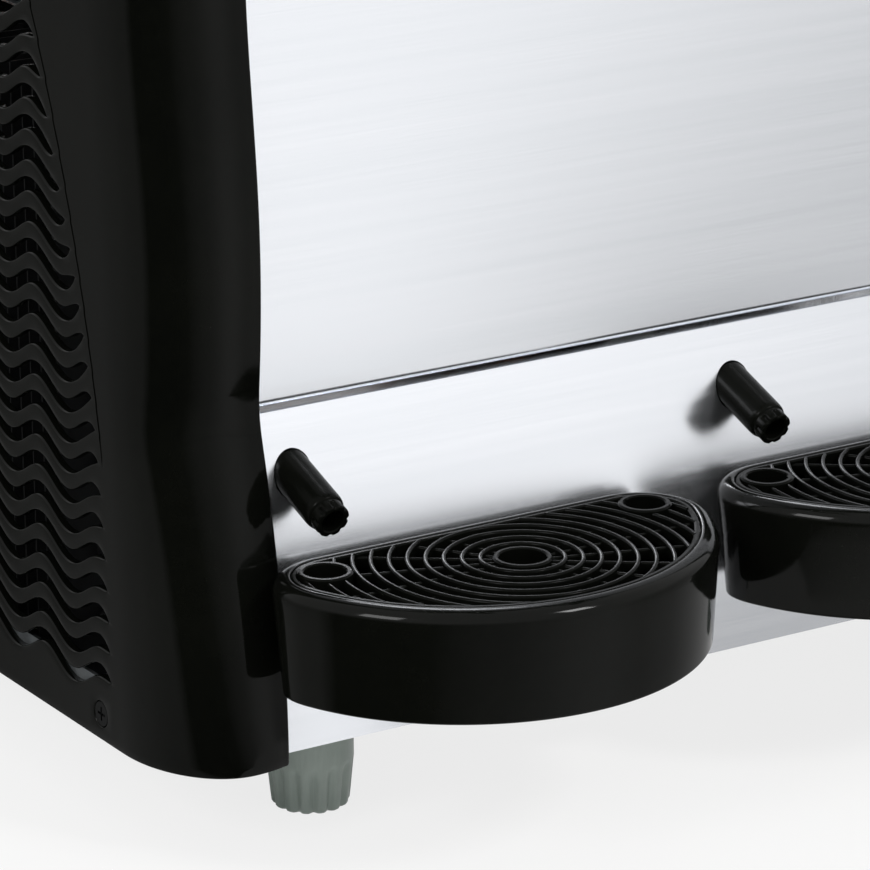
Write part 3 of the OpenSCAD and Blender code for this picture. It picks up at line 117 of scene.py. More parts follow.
def finish(name, colour, other, rough, grain_mm, stretch=(1, 1, 1), bump_mm=0.02, detail=4.0,
           mottle_mm=None, **sockets):
    """A surface whose colour runs between two shades and whose gloss and relief follow one grain.

    grain_mm is the size of the grain, stretch lengthens it along an axis, and mottle_mm is
    the size of the slow change of shade."""
    material, tree, shader, place = start(name)
    for key, value in sockets.items():
        shader.inputs[key.replace("_", " ")].default_value = value
    near = add(tree, "ShaderNodeMapping", {"Scale": [1 / s for s in stretch]}, Vector=place)
    grain = add(tree, "ShaderNodeTexNoise",
                {"Scale": 1 / (grain_mm * MM), "Detail": detail, "Roughness": 0.6},
                Vector=near.outputs[0])
    cloud = add(tree, "ShaderNodeTexNoise",
                {"Scale": 1 / ((mottle_mm or 20 * grain_mm) * MM), "Detail": 2.0}, Vector=place)
    blend = add(tree, "ShaderNodeMath", {"operation": "MULTIPLY_ADD", 1: 0.5},
                i0=grain.outputs["Fac"], i2=cloud.outputs["Fac"])
    shade = add(tree, "ShaderNodeMapRange", {"From Min": 0.5, "From Max": 1.0},
                Value=blend.outputs[0])
    paint = add(tree, "ShaderNodeMix", {"data_type": "RGBA"}, i0=shade.outputs[0])
    paint.inputs[6].default_value = linear(colour)
    paint.inputs[7].default_value = linear(other)
    tree.links.new(paint.outputs[2], shader.inputs["Base Color"])
    gloss = add(tree, "ShaderNodeMapRange",
                {"From Min": 0.3, "From Max": 0.7, "To Min": rough[0], "To Max": rough[1]},
                Value=grain.outputs["Fac"])
    tree.links.new(gloss.outputs[0], shader.inputs["Roughness"])
    relief = add(tree, "ShaderNodeBump", {"Strength": 1.0, "Distance": bump_mm * MM},
                 Height=grain.outputs["Fac"])
    tree.links.new(relief.outputs[0], shader.inputs["Normal"])
    return material


# Moulded ABS: polished tool, so deep black with a slow orange peel in its gloss
gloss_abs = finish("gloss_abs_black", "#080907", "#0c0d0a", (0.06, 0.11), 5.0, bump_mm=0.006,
                   detail=2.0, mottle_mm=60, IOR=1.5, Specular_IOR_Level=0.12)
# Moulded ABS from a spark-eroded tool: fine matt grain, drawn at 0.5 mm so that it shows
grained_abs = finish("grained_abs_black", "#11120f", "#181915", (0.32, 0.48), 0.5, bump_mm=0.02,
                     mottle_mm=50, IOR=1.53, Specular_IOR_Level=0.35)
# Drip grilles and spouts: moulded ABS dulled by washing, so it only glints where it faces a lamp
washed_abs = finish("washed_abs_black", "#080907", "#0c0d0a", (0.16, 0.24), 3.0, bump_mm=0.006,
                    detail=2.0, mottle_mm=40, IOR=1.3, Specular_IOR_Level=0.1)
# Switch plastic: satin nylon
switch_nylon = finish("satin_nylon_black", "#101112", "#191a1b", (0.25, 0.38), 0.6, bump_mm=0.008,
                      IOR=1.52)
# Green rocker: tinted polycarbonate, glossy and a little cloudy
green_rocker = finish("green_polycarbonate", "#23763b", "#2f9149", (0.12, 0.2), 2.0, bump_mm=0.004,
                      IOR=1.58, Subsurface_Weight=0.1)
# Feet: moulded grey-green nylon, matt with faint flow marks; drawn lighter than the nylon itself, a
# painted light that offsets the shade under the machine
foot_nylon = finish("grey_nylon_with_painted_light", "#96a29b", "#aab5ae", (0.34, 0.46), 1.2, stretch=(1, 1, 6),
                    bump_mm=0.02, IOR=1.53)
# Augers and pistons: white acetal, waxy
white_acetal = finish("white_acetal", "#e2e0d6", "#eeece4", (0.25, 0.36), 2.5, bump_mm=0.01,
                      IOR=1.48, Subsurface_Weight=0.15, Subsurface_Radius=(0.002, 0.002, 0.0016))
# Bowl gaskets: pale silicone rubber, matt
silicone = finish("pale_silicone", "#c9c4b6", "#d6d2c6", (0.45, 0.6), 0.8, bump_mm=0.02, IOR=1.41)
# Hoses: milky PVC, slightly glossy
hose_pvc = finish("milky_pvc", "#cfccc0", "#dedbd1", (0.25, 0.4), 1.5, bump_mm=0.01, IOR=1.53,
                  Subsurface_Weight=0.2)
# Compressor mounts: moulded black rubber with a dusty bloom
black_rubber = finish("black_rubber", "#151515", "#232322", (0.6, 0.8), 0.7, bump_mm=0.03, IOR=1.5)
# Compressor shell: stoved black enamel with orange peel
stoved_enamel = finish("stoved_black_enamel", "#0e0f10", "#17181a", (0.15, 0.28), 1.6, bump_mm=0.03,
                       IOR=1.5, Coat_Weight=0.3)
# Motors: grey hammered paint
motor_paint = finish("grey_motor_paint", "#6f7478", "#84898d", (0.32, 0.46), 1.1, bump_mm=0.04,
                     IOR=1.5)
# Base pan and posts: hot-dip galvanised sheet with its frost pattern about 9 mm across; its tone is held
# darker than bright zinc, a painted shade for the cabinet's inside seen through the slots
zinc_sheet = finish("galvanised_sheet_painted_shade", "#72777a", "#94989a", (0.35, 0.6), 9.0, bump_mm=0.01,
                    detail=1.0, mottle_mm=14, Metallic=1.0)
# Screws: bright zinc plate, a little rainbow-grey from handling
screw_zinc = finish("zinc_plated_screw", "#7f8386", "#9a9da0", (0.28, 0.42), 0.6, bump_mm=0.01,
                    Metallic=1.0)
# Panel screws: steel drawn near-black and dull, a painted shade for the dark of their counterbores
recess_shaded_screw = finish("screw_steel_painted_shade", "#070808", "#0d0e0e", (0.45, 0.6), 0.5, bump_mm=0.01, IOR=1.5,
                     Specular_IOR_Level=0.2)
# Condenser and fan: aluminium drawn near-black, a painted shade for the cabinet's inside seen through the
# slots; dull and a little dusty
fin_aluminium = finish("aluminium_in_painted_shade", "#151617", "#222324", (0.45, 0.6), 0.8,
                       stretch=(1, 1, 8), bump_mm=0.02, IOR=1.5)
# Pipes: drawn copper, darkened in patches by handling
copper = finish("drawn_copper", "#a8623f", "#c98560", (0.25, 0.45), 1.0, mottle_mm=22, bump_mm=0.01,
                Metallic=1.0)
# Springs, pins and shafts: ground stainless bar
ground_steel = finish("ground_stainless", "#aeb2b6", "#c6c9cd", (0.16, 0.28), 0.35,
                      stretch=(1, 12, 1), bump_mm=0.004, Metallic=1.0)


HAIR_MM, HAIR_LENGTH, STREAK_MM, STREAK_LENGTH = 0.3, 60, 5, 400


def brushed_steel(name, along, across, rough, tone, metallic=1.0):
    """Stainless sheet, belt-brushed: hairlines along one axis, which smear a highlight across them,
    and broad streaks. Real hairlines are about 0.05 mm apart; they are drawn wider so that they show."""
    material, tree, shader, place = start(name)
    shader.inputs["Metallic"].default_value = metallic
    shader.inputs["Anisotropic"].default_value = 0.6
    hair = [1 / (HAIR_MM * MM)] * 3
    hair[along] = 1 / (HAIR_LENGTH * MM)
    streak = [1 / (STREAK_MM * MM)] * 3
    streak[along] = 1 / (STREAK_LENGTH * MM)
    fine = add(tree, "ShaderNodeTexNoise", {"Scale": 1.0, "Detail": 2.0, "Roughness": 0.6},
               Vector=add(tree, "ShaderNodeMapping", {"Scale": hair}, Vector=place).outputs[0])
    broad = add(tree, "ShaderNodeTexNoise", {"Scale": 1.0, "Detail": 2.0, "Roughness": 0.5},
                Vector=add(tree, "ShaderNodeMapping", {"Scale": streak}, Vector=place).outputs[0])
    both = add(tree, "ShaderNodeMath", {"operation": "MULTIPLY_ADD", 1: 0.8},
               i0=fine.outputs["Fac"], i2=broad.outputs["Fac"])
    paint = add(tree, "ShaderNodeMix", {"data_type": "RGBA"},
                i0=add(tree, "ShaderNodeMapRange", {"From Min": 0.5, "From Max": 1.3},
                       Value=both.outputs[0]).outputs[0])
    paint.inputs[6].default_value = linear(tone[0])
    paint.inputs[7].default_value = linear(tone[1])
    tree.links.new(paint.outputs[2], shader.inputs["Base Color"])
    gloss = add(tree, "ShaderNodeMapRange", {"From Min": 0.5, "From Max": 1.3, "To Min": rough[0],
                                             "To Max": rough[1]}, Value=both.outputs[0])
    tree.links.new(gloss.outputs[0], shader.inputs["Roughness"])
    smear = [0.0, 0.0, 0.0]
    smear[across] = 1.0
    line = add(tree, "ShaderNodeCombineXYZ", {0: smear[0], 1: smear[1], 2: smear[2]})
    tree.links.new(line.outputs[0], shader.inputs["Tangent"])
    relief = add(tree, "ShaderNodeBump", {"Strength": 0.3, "Distance": 0.003 * MM},
                 Height=fine.outputs["Fac"])
    tree.links.new(relief.outputs[0], shader.inputs["Normal"])
    return material


# Front sheets: bright stainless, brushed level
front_steel = brushed_steel("brushed_stainless_front", 0, 2, (0.16, 0.24), ("#eef1f6", "#f8faff"),
                            metallic=0.95)
# Rear panel: plainer stainless, brushed upright
back_steel = brushed_steel("brushed_stainless_back", 2, 0, (0.34, 0.44), ("#b3b6b9", "#c6c9cc"))
# Freezing drums: stainless tube with the marks of polishing
drum_steel = brushed_steel("turned_stainless_drum", 2, 1, (0.26, 0.36), ("#c5c8cb", "#dadcdf"))


def clear_plastic():
    """Injection-moulded polycarbonate: clear, polished, with a very faint ripple."""
    material, tree, shader, place = start("clear_polycarbonate")
    shader.inputs["Base Color"].default_value = linear("#f1f5f5")
    shader.inputs["IOR"].default_value = 1.58
    shader.inputs["Transmission Weight"].default_value = 1.0
    ripple = add(tree, "ShaderNodeTexNoise", {"Scale": 1 / (18 * MM), "Detail": 1.0}, Vector=place)
    gloss = add(tree, "ShaderNodeMapRange", {"To Min": 0.01, "To Max": 0.05},
                Value=ripple.outputs["Fac"])
    tree.links.new(gloss.outputs[0], shader.inputs["Roughness"])
    relief = add(tree, "ShaderNodeBump", {"Strength": 1.0, "Distance": 0.02 * MM},
                 Height=ripple.outputs["Fac"])
    tree.links.new(relief.outputs[0], shader.inputs["Normal"])
    return material


bowl_plastic = clear_plastic()


# Meshes
def quads(rows, cols, wrap=False):
    """Quads of a grid of rows by cols points; wrap joins the last column to the first."""
    r, c = np.meshgrid(np.arange(rows - 1), np.arange(cols if wrap else cols - 1), indexing="ij")
    n = (c + 1) % cols
    corners = [r * cols + c, r * cols + n, (r + 1) * cols + n, (r + 1) * cols + c]
    return np.stack(corners, -1).reshape(-1, 4)


def tube(rings, cap=True, closed=False):
    """Shell through rings of points, (rings, points, 3); cap fills both ends with a fan of
    triangles to their middle, closed joins the last ring to the first."""
    rings = np.asarray(rings, float)
    n, m = rings.shape[:2]
    points = rings.reshape(-1, 3)
    if closed:
        return points, quads(n + 1, m, True) % (n * m)
    faces = quads(n, m, True)
    if cap:
        j, last = np.arange(m), (n - 1) * m
        points = np.concatenate([points, rings[[0, -1]].mean(1)])
        middle = np.full(m, n * m)
        low = np.stack([(j + 1) % m, j, middle, middle], -1)
        high = np.stack([last + j, last + (j + 1) % m, middle + 1, middle + 1], -1)
        faces = np.concatenate([faces, low, high])
    return points, faces


def outward(points, faces):
    """The faces turned so that the shell's volume, a sum of signed tetrahedra, is positive."""
    a, b, c, d = (points[faces[:, k]] for k in range(4))
    volume = (np.cross(a, b) * c).sum() + (np.cross(a, c) * d).sum()
    return faces if volume > 0 else faces[:, ::-1]


def piece(name, shells, material, body, replaced, sharp=38):
    """One mesh of the given closed shells, in millimetres; equal points of a shell are merged, and
    faces that meet at more than the sharp angle keep their edge."""
    points, faces, count = [], [], 0
    for p, f in shells:
        points.append(p)
        faces.append(outward(p, f) + count)
        count += len(p)
    points, faces = np.concatenate(points), np.concatenate(faces)
    own = np.repeat(np.arange(len(shells)), [len(p) for p, _ in shells])
    keys = np.concatenate([np.round(points * 1e4), own[:, None]], 1).astype(np.int64)
    _, first, merged = np.unique(keys, axis=0, return_index=True, return_inverse=True)
    faces = merged.reshape(-1)[faces]
    points = points[first]
    mesh = bpy.data.meshes.new(name)
    loops = [list(dict.fromkeys(f)) for f in faces.tolist()]
    mesh.from_pydata((points * MM).tolist(), [], [f for f in loops if len(f) > 2])
    mesh.validate()
    mesh.shade_smooth()
    mesh.set_sharp_from_angle(angle=math.radians(sharp))
    mesh.materials.append(material)
    shown = bpy.data.objects.new(name, mesh)
    bpy.context.scene.collection.objects.link(shown)
    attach(shown, body)
    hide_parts(replaced)
    return shown


def arc(centre, radius, start_deg, end_deg, count):
    """Points of a circular arc in a plane, (count, 2)."""
    a = np.radians(np.linspace(start_deg, end_deg, count))
    return np.stack([centre[0] + radius * np.cos(a), centre[1] + radius * np.sin(a)], -1)


def lathe(profile, base, axis, side, count=64, swell=None):
    """Solid of revolution: profile points (along, radius) turned about the axis from base;
    swell, of the same shape as the grid, adds to the radius."""
    axis, side = np.array(axis, float), np.array(side, float)
    third = np.cross(axis, side)
    t = np.linspace(0, 2 * np.pi, count, endpoint=False)
    along, radius = np.array(profile, float).T
    r = radius[:, None] + (0 if swell is None else swell(along[:, None], t[None]))
    return tube(np.array(base, float) + along[:, None, None] * axis
                + r[..., None] * (np.cos(t)[:, None] * side + np.sin(t)[:, None] * third))


def block(low, high, round_mm=0.6, steps=3):
    """Box between two corners with rounded upright edges and rounded rims: rounded
    rectangles, drawn in along a quarter circle at both ends, carried up the box."""
    low, high = np.array(low, float), np.array(high, float)
    q = np.radians(np.linspace(0, 90, steps))
    drawn = np.concatenate([round_mm * (1 - np.sin(q)), round_mm * (1 - np.cos(q))])
    height = np.concatenate([low[2] + round_mm * (1 - np.cos(q)),
                             high[2] - round_mm * (1 - np.sin(q))])
    turn = np.concatenate([k * np.pi / 2 + q for k in range(4)])
    sign = np.repeat([[1, 1], [-1, 1], [-1, -1], [1, -1]], steps, 0)
    middle, half = (low + high)[:2] / 2, (high - low)[:2] / 2 - round_mm
    unit = np.stack([np.cos(turn), np.sin(turn)], -1)
    plan = middle + sign * half + (round_mm - drawn)[:, None, None] * unit
    level = np.broadcast_to(height[:, None, None], plan.shape[:2] + (1,))
    return tube(np.concatenate([plan, level], -1))


# Side panels: their frame, the front's section and its course, the slots, the groove ahead of them
PANEL_Z, PANEL_TOP, SEAM_Z, STEEL_Y, Y_REAR = 31.0, 412.0, 149.0, -124.0, 240.0
HALF_W, WALL, CORNER_X, EDGE_X, LIP_Y = 200.0, 3.0, 172.0, 158.0, -103.0
ROW_Z, ROWS, PITCH, SLOT_END, SLOT_HALF = 52.5, 30, 10.6, 66.0, 2.15
WAVE, WAVE_H, CREST_Y, TAIL = 40.5, 3.7, -48.0, 8.0
SCREWS = ((-88.0, 40.5), (180.0, 40.5), (180.0, 403.0))
SIDE_OUT, FRONT_W, CROWN, EDGE_R = HALF_W - CORNER_X, CORNER_X - EDGE_X, 2.5, 1.5
FOOT_OUT, SWEEP, BULGE_Z, BULGE_OUT, BULGE_SWEEP = 17.7, 16.5, 200.0, 4.4, 3.2
FADE_Z, FADE_MEAN, FADE_SWING = 305.0, 0.9, 3.5
FLAT_Y, FLAT_LEAN, SLOT_Y, SLOT_ARC = -104.0, 20.0, -96.5, 540.0
GROOVE_AHEAD, GROOVE_DEEP, GROOVE_Z = (4.0, 3.85, 3.15, 3.0), 0.7, (131.0, 380.0)
# Columns of the flat side ahead of a slot, as shares of its wave, and behind it
WAVE_AHEAD = (0, 0.3, 0.5, 0.52, 0.58, 0.6)
REAR_Y = (70, 78, 100, 140, 171, 175, 178, 180, 182, 185, 189, 210, Y_REAR)
# Rounds, as steps of (distance from the edge, depth): the foot's rim and a slot's rim
FOOT_ROUND = ((0, 0.9), (0.3, 0.25), (1.0, 0.0))
SLOT_ROUND = ((0, 0.8), (0.35, 0.22), (0.9, 0.0))
# Screw seat, as (radius, depth): rim, chamfer, counterbore, its floor and the screw's hole
SEAT = ((5.2, 0), (4.85, 0.12), (4.6, 0.5), (4.6, 1.9), (2.2, 1.9), (2.2, WALL))
# Room that a seat takes in the grid: to either side at the front and at the rear, above, below
FRONT_ROOM, REAR_ROOM, ROOM_ABOVE, ROOM_BELOW = 8.5, 9.5, 6.0, 5.4


def nose_edge(z):
    """Y of the panel's inner front edge: a foot that draws in to the waist at the seam, a
    second, shallower bulge above it, then a cosine fade; averaged over 16 mm, so no crease."""
    spread = np.linspace(-8, 8, 9)
    z = np.clip(np.asarray(z, float)[..., None] + spread, PANEL_Z, PANEL_TOP)
    foot = FOOT_OUT - SWEEP * ((z - PANEL_Z) / (SEAM_Z - PANEL_Z)) ** 2
    bulge = BULGE_OUT - BULGE_SWEEP * ((BULGE_Z - z) / (BULGE_Z - SEAM_Z)) ** 2
    above = (np.clip(z, BULGE_Z, FADE_Z) - BULGE_Z) / (FADE_Z - BULGE_Z)
    fade = FADE_MEAN + FADE_SWING * np.cos(np.pi * above)
    return STEEL_Y - np.where(z < SEAM_Z, foot, np.where(z < BULGE_Z, bulge, fade)).mean(-1)


def flat_start(z):
    """Y where the flat side begins; it leans back towards the top."""
    return FLAT_Y + FLAT_LEAN * (np.asarray(z, float) - PANEL_Z) / (PANEL_TOP - PANEL_Z)


def slot_front(z):
    """Y of the slots' front ends: a parabola close to a circle of the radius SLOT_ARC."""
    return SLOT_Y + (np.asarray(z, float) - ROW_Z) ** 2 / (2 * SLOT_ARC)


def nose_section(z):
    """Outer and inner points of the panel's front at heights z, each (heights, points, 2):
    a quarter ellipse, a shallow parabola across the front, a small round and the lip."""
    yj, yn = flat_start(z)[:, None], nose_edge(z)[:, None] - CROWN
    t = np.radians(np.linspace(0, 90, 30))[1:]
    u = np.linspace(0, (FRONT_W - EDGE_R) / FRONT_W, 8)[1:]
    f = np.radians(np.linspace(0, 90, 6))[1:]
    full = np.ones_like(yj)
    y_end = yn + CROWN * u[-1] ** 2
    across, inner_edge = -CORNER_X + FRONT_W * u, -EDGE_X - WALL
    outer_x = np.concatenate([-CORNER_X - SIDE_OUT * np.cos(t), across,
                              -EDGE_X - EDGE_R + EDGE_R * np.sin(f), [-EDGE_X] * 2]) * full
    outer_y = np.concatenate([yj - (yj - yn) * np.sin(t), yn + CROWN * u ** 2,
                              y_end + EDGE_R * (1 - np.cos(f)), (y_end + LIP_Y) / 2, LIP_Y * full], 1)
    inner_x = np.concatenate([-CORNER_X - (SIDE_OUT - WALL) * np.cos(t), np.minimum(across, inner_edge),
                              [inner_edge] * (len(f) + 2)]) * full
    inner_y = np.concatenate([yj - (yj - yn - WALL) * np.sin(t), yn + CROWN * u ** 2 + WALL,
                              y_end + WALL + 0.3 * np.arange(1, len(f) + 1),
                              (y_end + LIP_Y) / 2 + EDGE_R, LIP_Y * full], 1)
    return np.stack([outer_x, outer_y], -1), np.stack([inner_x, inner_y], -1)


def swing(y, wave):
    """Height of a slot's wave at y: a cosine with a crest at CREST_Y."""
    return wave * WAVE_H * np.cos(2 * np.pi * (y - CREST_Y) / WAVE)


def flat_columns(z, wave):
    """One row of points on the flat side, from the nose to the rear: Y, height above z,
    half height of the slot and depth of the groove at each. Ahead of the slot's tip and
    behind its end the wave fades out; in the tails its half height runs to nothing."""
    tip = float(slot_front(z))
    lift = np.array(WAVE_AHEAD) * swing(tip, wave)
    begin, reach = flat_start(z + lift), slot_front(z + lift)
    front = np.concatenate([begin[:1], [(begin[1] + reach[1] - GROOVE_AHEAD[0]) / 2],
                            reach[2:] - GROOVE_AHEAD])
    groove = np.array([0, 0, 0, GROOVE_DEEP, GROOVE_DEEP, 0]) * (GROOVE_Z[0] < z < GROOVE_Z[1])
    length = SLOT_END - tip
    inside = np.concatenate([np.linspace(0, TAIL, 11)[:-1], np.linspace(TAIL, length - TAIL, 92)[:-1],
                             np.linspace(length - TAIL, length, 9)])
    y = tip + inside
    slope = wave * WAVE_H * 2 * np.pi / WAVE * np.sin(2 * np.pi * (y - CREST_Y) / WAVE)
    tail = np.clip(np.minimum(inside, SLOT_END - y) / TAIL, 0, 1)
    half = wave * SLOT_HALF * np.sqrt(1 + slope ** 2) * (1 - (1 - tail) ** 1.7)
    ahead, behind = np.zeros(len(front)), np.zeros(len(REAR_Y))
    rear_lift = behind.copy()
    rear_lift[0] = swing(SLOT_END, wave) * 0.5
    return (np.concatenate([front, y, REAR_Y]), np.concatenate([lift, swing(y, wave), rear_lift]),
            np.concatenate([ahead, half, behind]), np.concatenate([groove, np.zeros(len(y)), behind]))


def bored(outer, inner, centre, rows, cols):
    """Screw seat in a block of grid cells: rings from the block's rim to the chamfer, down
    the counterbore, across its floor and through the wall to the block's rim inside."""
    (r0, r1), (c0, c1) = rows, cols
    wide, tall = c1 - c0, r1 - r0
    r = np.concatenate([np.full(wide, r0), np.arange(r0, r1), np.full(wide, r1), np.arange(r1, r0, -1)])
    c = np.concatenate([np.arange(c0, c1), np.full(tall, c1), np.arange(c1, c0, -1), np.full(tall, c0)])
    rim, back = outer[r, c], inner[r, c]
    angle = np.arctan2(rim[:, 2] - centre[1], rim[:, 1] - centre[0])
    radius, depth = np.array(SEAT).T[:, :, None]
    rings = np.stack([np.broadcast_to(-HALF_W + depth, (len(SEAT), len(angle))),
                      centre[0] + radius * np.cos(angle), centre[1] + radius * np.sin(angle)], -1)
    return tube(np.concatenate([rim[None], rings, back[None]]), cap=False)


def flat_rows():
    """Points of the flat side as arrays of Y, Z and depth, one row above the other from the foot
    up: rows run along the slots' edges and their rounds, and more are spread between them. Also
    the numbers of the rows that are the slots' lower edges."""
    y, z, depth, slots = [], [], [], []

    def row(columns, height, sink):
        """One more row."""
        y.append(columns)
        z.append(height)
        depth.append(sink)

    def spread(columns, height, sink, shares):
        """Rows part of the way from the last row to the given one."""
        y0, z0, d0 = y[-1], z[-1], depth[-1]
        for s in shares:
            row(y0 + s * (columns - y0), z0 + s * (height - z0), d0 * (1 - s) + sink * s)

    foot = flat_columns(PANEL_Z, 0)[0]
    for lift, sink in FOOT_ROUND:
        row(foot, np.full_like(foot, PANEL_Z + lift), np.full_like(foot, sink))
    for i in range(ROWS):
        level = ROW_Z + i * PITCH
        columns, lift, half, groove = flat_columns(level, 1)
        open_here = np.clip(half / 1.2, 0, 1)
        spread(columns, level + lift - half - SLOT_ROUND[-1][0], groove,
               np.linspace(0, 1, 9 if i == 0 else 3)[1:-1])
        for away, sink in SLOT_ROUND[::-1]:
            row(columns, level + lift - half - away, sink * open_here + groove)
        slots.append(len(y) - 1)
        for away, sink in SLOT_ROUND:
            row(columns, level + lift + half + away, sink * open_here + groove)
    spread(flat_columns(PANEL_TOP, 0)[0], PANEL_TOP, 0, np.linspace(0, 1, 9)[1:])
    return np.array(y), np.array(z), np.array(depth), slots


def side_panel():
    """The left panel as one shell: an outer and an inner grid whose rows follow the slots'
    edges, joined along the rims, the slots and the screw seats."""
    y, z, depth, slots = flat_rows()
    y, z, depth = y[:, ::-1], z[:, ::-1], depth[:, ::-1]
    heights = z[:, -1]
    front_out, front_in = nose_section(heights)
    tangent = np.gradient(front_out, axis=1)
    inward = np.stack([-tangent[..., 1], tangent[..., 0]], -1)
    inward /= np.linalg.norm(inward, axis=-1, keepdims=True)
    sink = np.zeros(len(heights))
    sink[:len(FOOT_ROUND)] = [s for _, s in FOOT_ROUND]
    front_out = front_out + inward * sink[:, None, None]
    level = np.broadcast_to(heights[:, None, None], front_out.shape[:2] + (1,))
    flat_out = np.stack([-HALF_W + depth, y, z], -1)
    flat_in = np.stack([np.full_like(y, -HALF_W + WALL), y, z], -1)
    outer = np.concatenate([flat_out, np.concatenate([front_out, level], -1)], 1)
    inner = np.concatenate([flat_in, np.concatenate([front_in, level], -1)], 1)
    n, m = outer.shape[:2]
    keep = np.ones((n - 1, m - 1), bool)
    keep[slots] = False
    seats = []
    for cy, cz in SCREWS:
        cols = np.where(np.abs(y[0] - cy) < (FRONT_ROOM if cy < 0 else REAR_ROOM))[0]
        here = z[:, cols[len(cols) // 2]]
        top = np.searchsorted(here, cz + ROOM_ABOVE)
        low = np.searchsorted(here, cz - ROOM_BELOW) - 1
        keep[low:top, cols[0]:cols[-1]] = False
        seats.append(bored(outer, inner, (cy, cz), (low, top), (cols[0], cols[-1])))
    faces = quads(n, m)[keep.reshape(-1)]
    r, c, base = np.arange(n - 1), np.arange(m - 1), n * m

    def strip(rows, cols, next_rows, next_cols):
        """Quads between two sets of outer points and the inner points behind them."""
        a, b = rows * m + cols, next_rows * m + next_cols
        return np.stack([a, b, b + base, a + base], -1)

    walls = [strip(0, c + 1, 0, c), strip(n - 1, c, n - 1, c + 1),
             strip(r, 0, r + 1, 0), strip(r + 1, m - 1, r, m - 1)]
    slot_cols = np.arange(len(REAR_Y), y.shape[1] - len(WAVE_AHEAD) - 1)
    for s in slots:
        walls += [strip(s, slot_cols, s, slot_cols + 1), strip(s + 1, slot_cols + 1, s + 1, slot_cols)]
    points = np.concatenate([outer.reshape(-1, 3), inner.reshape(-1, 3)])
    faces = np.concatenate([faces, faces[:, ::-1] + base] + walls)
    for p, f in seats:
        faces = np.concatenate([faces, f + len(points)])
        points = np.concatenate([points, p])
    return points, faces


left_panel = side_panel()
right_panel = left_panel[0] * [-1, 1, 1], left_panel[1][:, ::-1]
piece("side_panel_left_skin", [left_panel], gloss_abs, "cabinet", "side_panel_left")
piece("side_panel_right_skin", [right_panel], gloss_abs, "cabinet", "side_panel_right")

# Drip trays and grilles: plan, heights, wall, ledge and well of a tray, then rings and spokes
BAYS = (("left", -88.5), ("right", 88.5))
TRAY_R, TRAY_MID, TRAY_BACK, TRAY_CORNER = 86.0, -139.0, -136.0, 24.0
TRAY_Z, TRAY_TOP, RIM_R, GRILLE_Z = 62.5, 101.5, 6.0, 95.5
CORNER_Y = TRAY_BACK - TRAY_CORNER
CORNER_OUT = math.sqrt((TRAY_R - TRAY_CORNER) ** 2 - (CORNER_Y - TRAY_MID) ** 2)
CORNER_TURN = math.degrees(math.atan2(TRAY_MID - CORNER_Y, CORNER_OUT))
DRAFT, FOOT_R, BACK_LEAN, LEAN_H = 1.6, 1.2, 8.0, 36.0
LEDGE_IN, LEDGE_Z, WELL_IN, FLOOR_IN, FLOOR_Z = RIM_R + 3, 93.5, 4.1, 20.0, 65.0
TONGUES, TONGUE_LOW, TONGUE_HIGH = (-40, 40), (-9, -141, 78), (9, -128.4, 86)
RING_Y, RING_PITCH, HUB_R, RINGS, SPOKES = -176.0, 6.0, 8.0, 12, 20
RING_BAR, SPOKE_BAR, BARS_IN = (1.7, 98.0, TRAY_TOP), (1.5, 96.5, 100.2), RIM_R + 1.3
FINGERS, FINGER_R, FINGER_OUT = ((-63.0, -155.0), (63.0, -155.0)), 7.0, 9.2


def d_plan(inset):
    """D-shaped outline drawn in by the inset: round front, back corners that touch its circle,
    and back edge; the same number of points for every inset."""
    corner = TRAY_CORNER - inset
    across = np.linspace(CORNER_OUT, -CORNER_OUT, 15)[1:-1]
    front = arc((0, TRAY_MID), TRAY_R - inset, 180 + CORNER_TURN, 360 - CORNER_TURN, 97)
    right = arc((CORNER_OUT, CORNER_Y), corner, -CORNER_TURN, 90, 15)[1:]
    left = arc((-CORNER_OUT, CORNER_Y), corner, 90, 180 + CORNER_TURN, 15)[:-1]
    back = np.stack([across, np.full_like(across, TRAY_BACK - inset)], -1)
    return np.concatenate([front, right, back, left])


def d_rings(profile, slope):
    """D outlines carried up a profile of (inset, height); slope draws the back wall forward
    towards the floor, in proportion to the distance behind the middles of its corners."""
    rings = []
    for inset, height in profile:
        plan = d_plan(inset)
        lean = slope * np.clip((TRAY_TOP - RIM_R - height) / LEAN_H, 0, 1)
        behind = np.maximum(plan[:, 1] - CORNER_Y, 0)
        plan[:, 1] -= lean * behind / (TRAY_BACK - CORNER_Y)
        rings.append(np.concatenate([plan, np.full((len(plan), 1), height)], 1))
    return np.array(rings)


def tray_shells(x):
    """Drip tray: outer wall with a rounded foot and rim, the grille's ledge, the inner wall
    and floor in one profile, and two tongues at the back."""
    shoulder, wall_z = RIM_R - 0.5, TRAY_Z + FOOT_R
    foot = arc((DRAFT + FOOT_R, wall_z), FOOT_R, 270, 180, 7)
    wall = np.linspace((DRAFT, wall_z), (0, TRAY_TOP - shoulder), 6)[1:-1]
    rim = arc((shoulder, TRAY_TOP - shoulder), shoulder, 180, 90, 11)
    lip = arc((RIM_R - 0.5, TRAY_TOP - 0.5), 0.5, 90, 0, 4)[1:]
    inner = [(RIM_R, GRILLE_Z), (LEDGE_IN, GRILLE_Z), (LEDGE_IN, LEDGE_Z), (WELL_IN, LEDGE_Z),
             (WELL_IN, FLOOR_Z + 3), (WELL_IN + 0.4, FLOOR_Z + 1), (WELL_IN + 2, FLOOR_Z),
             (FLOOR_IN, FLOOR_Z)]
    profile = np.concatenate([[(FLOOR_IN, TRAY_Z)], foot, wall, rim, lip, inner])
    shells = [tube(d_rings(profile, BACK_LEAN))]
    shells += [block(np.add(TONGUE_LOW, (s, 0, 0)), np.add(TONGUE_HIGH, (s, 0, 0)), 0.8) for s in TONGUES]
    return [(p + [x, 0, 0], f) for p, f in shells]


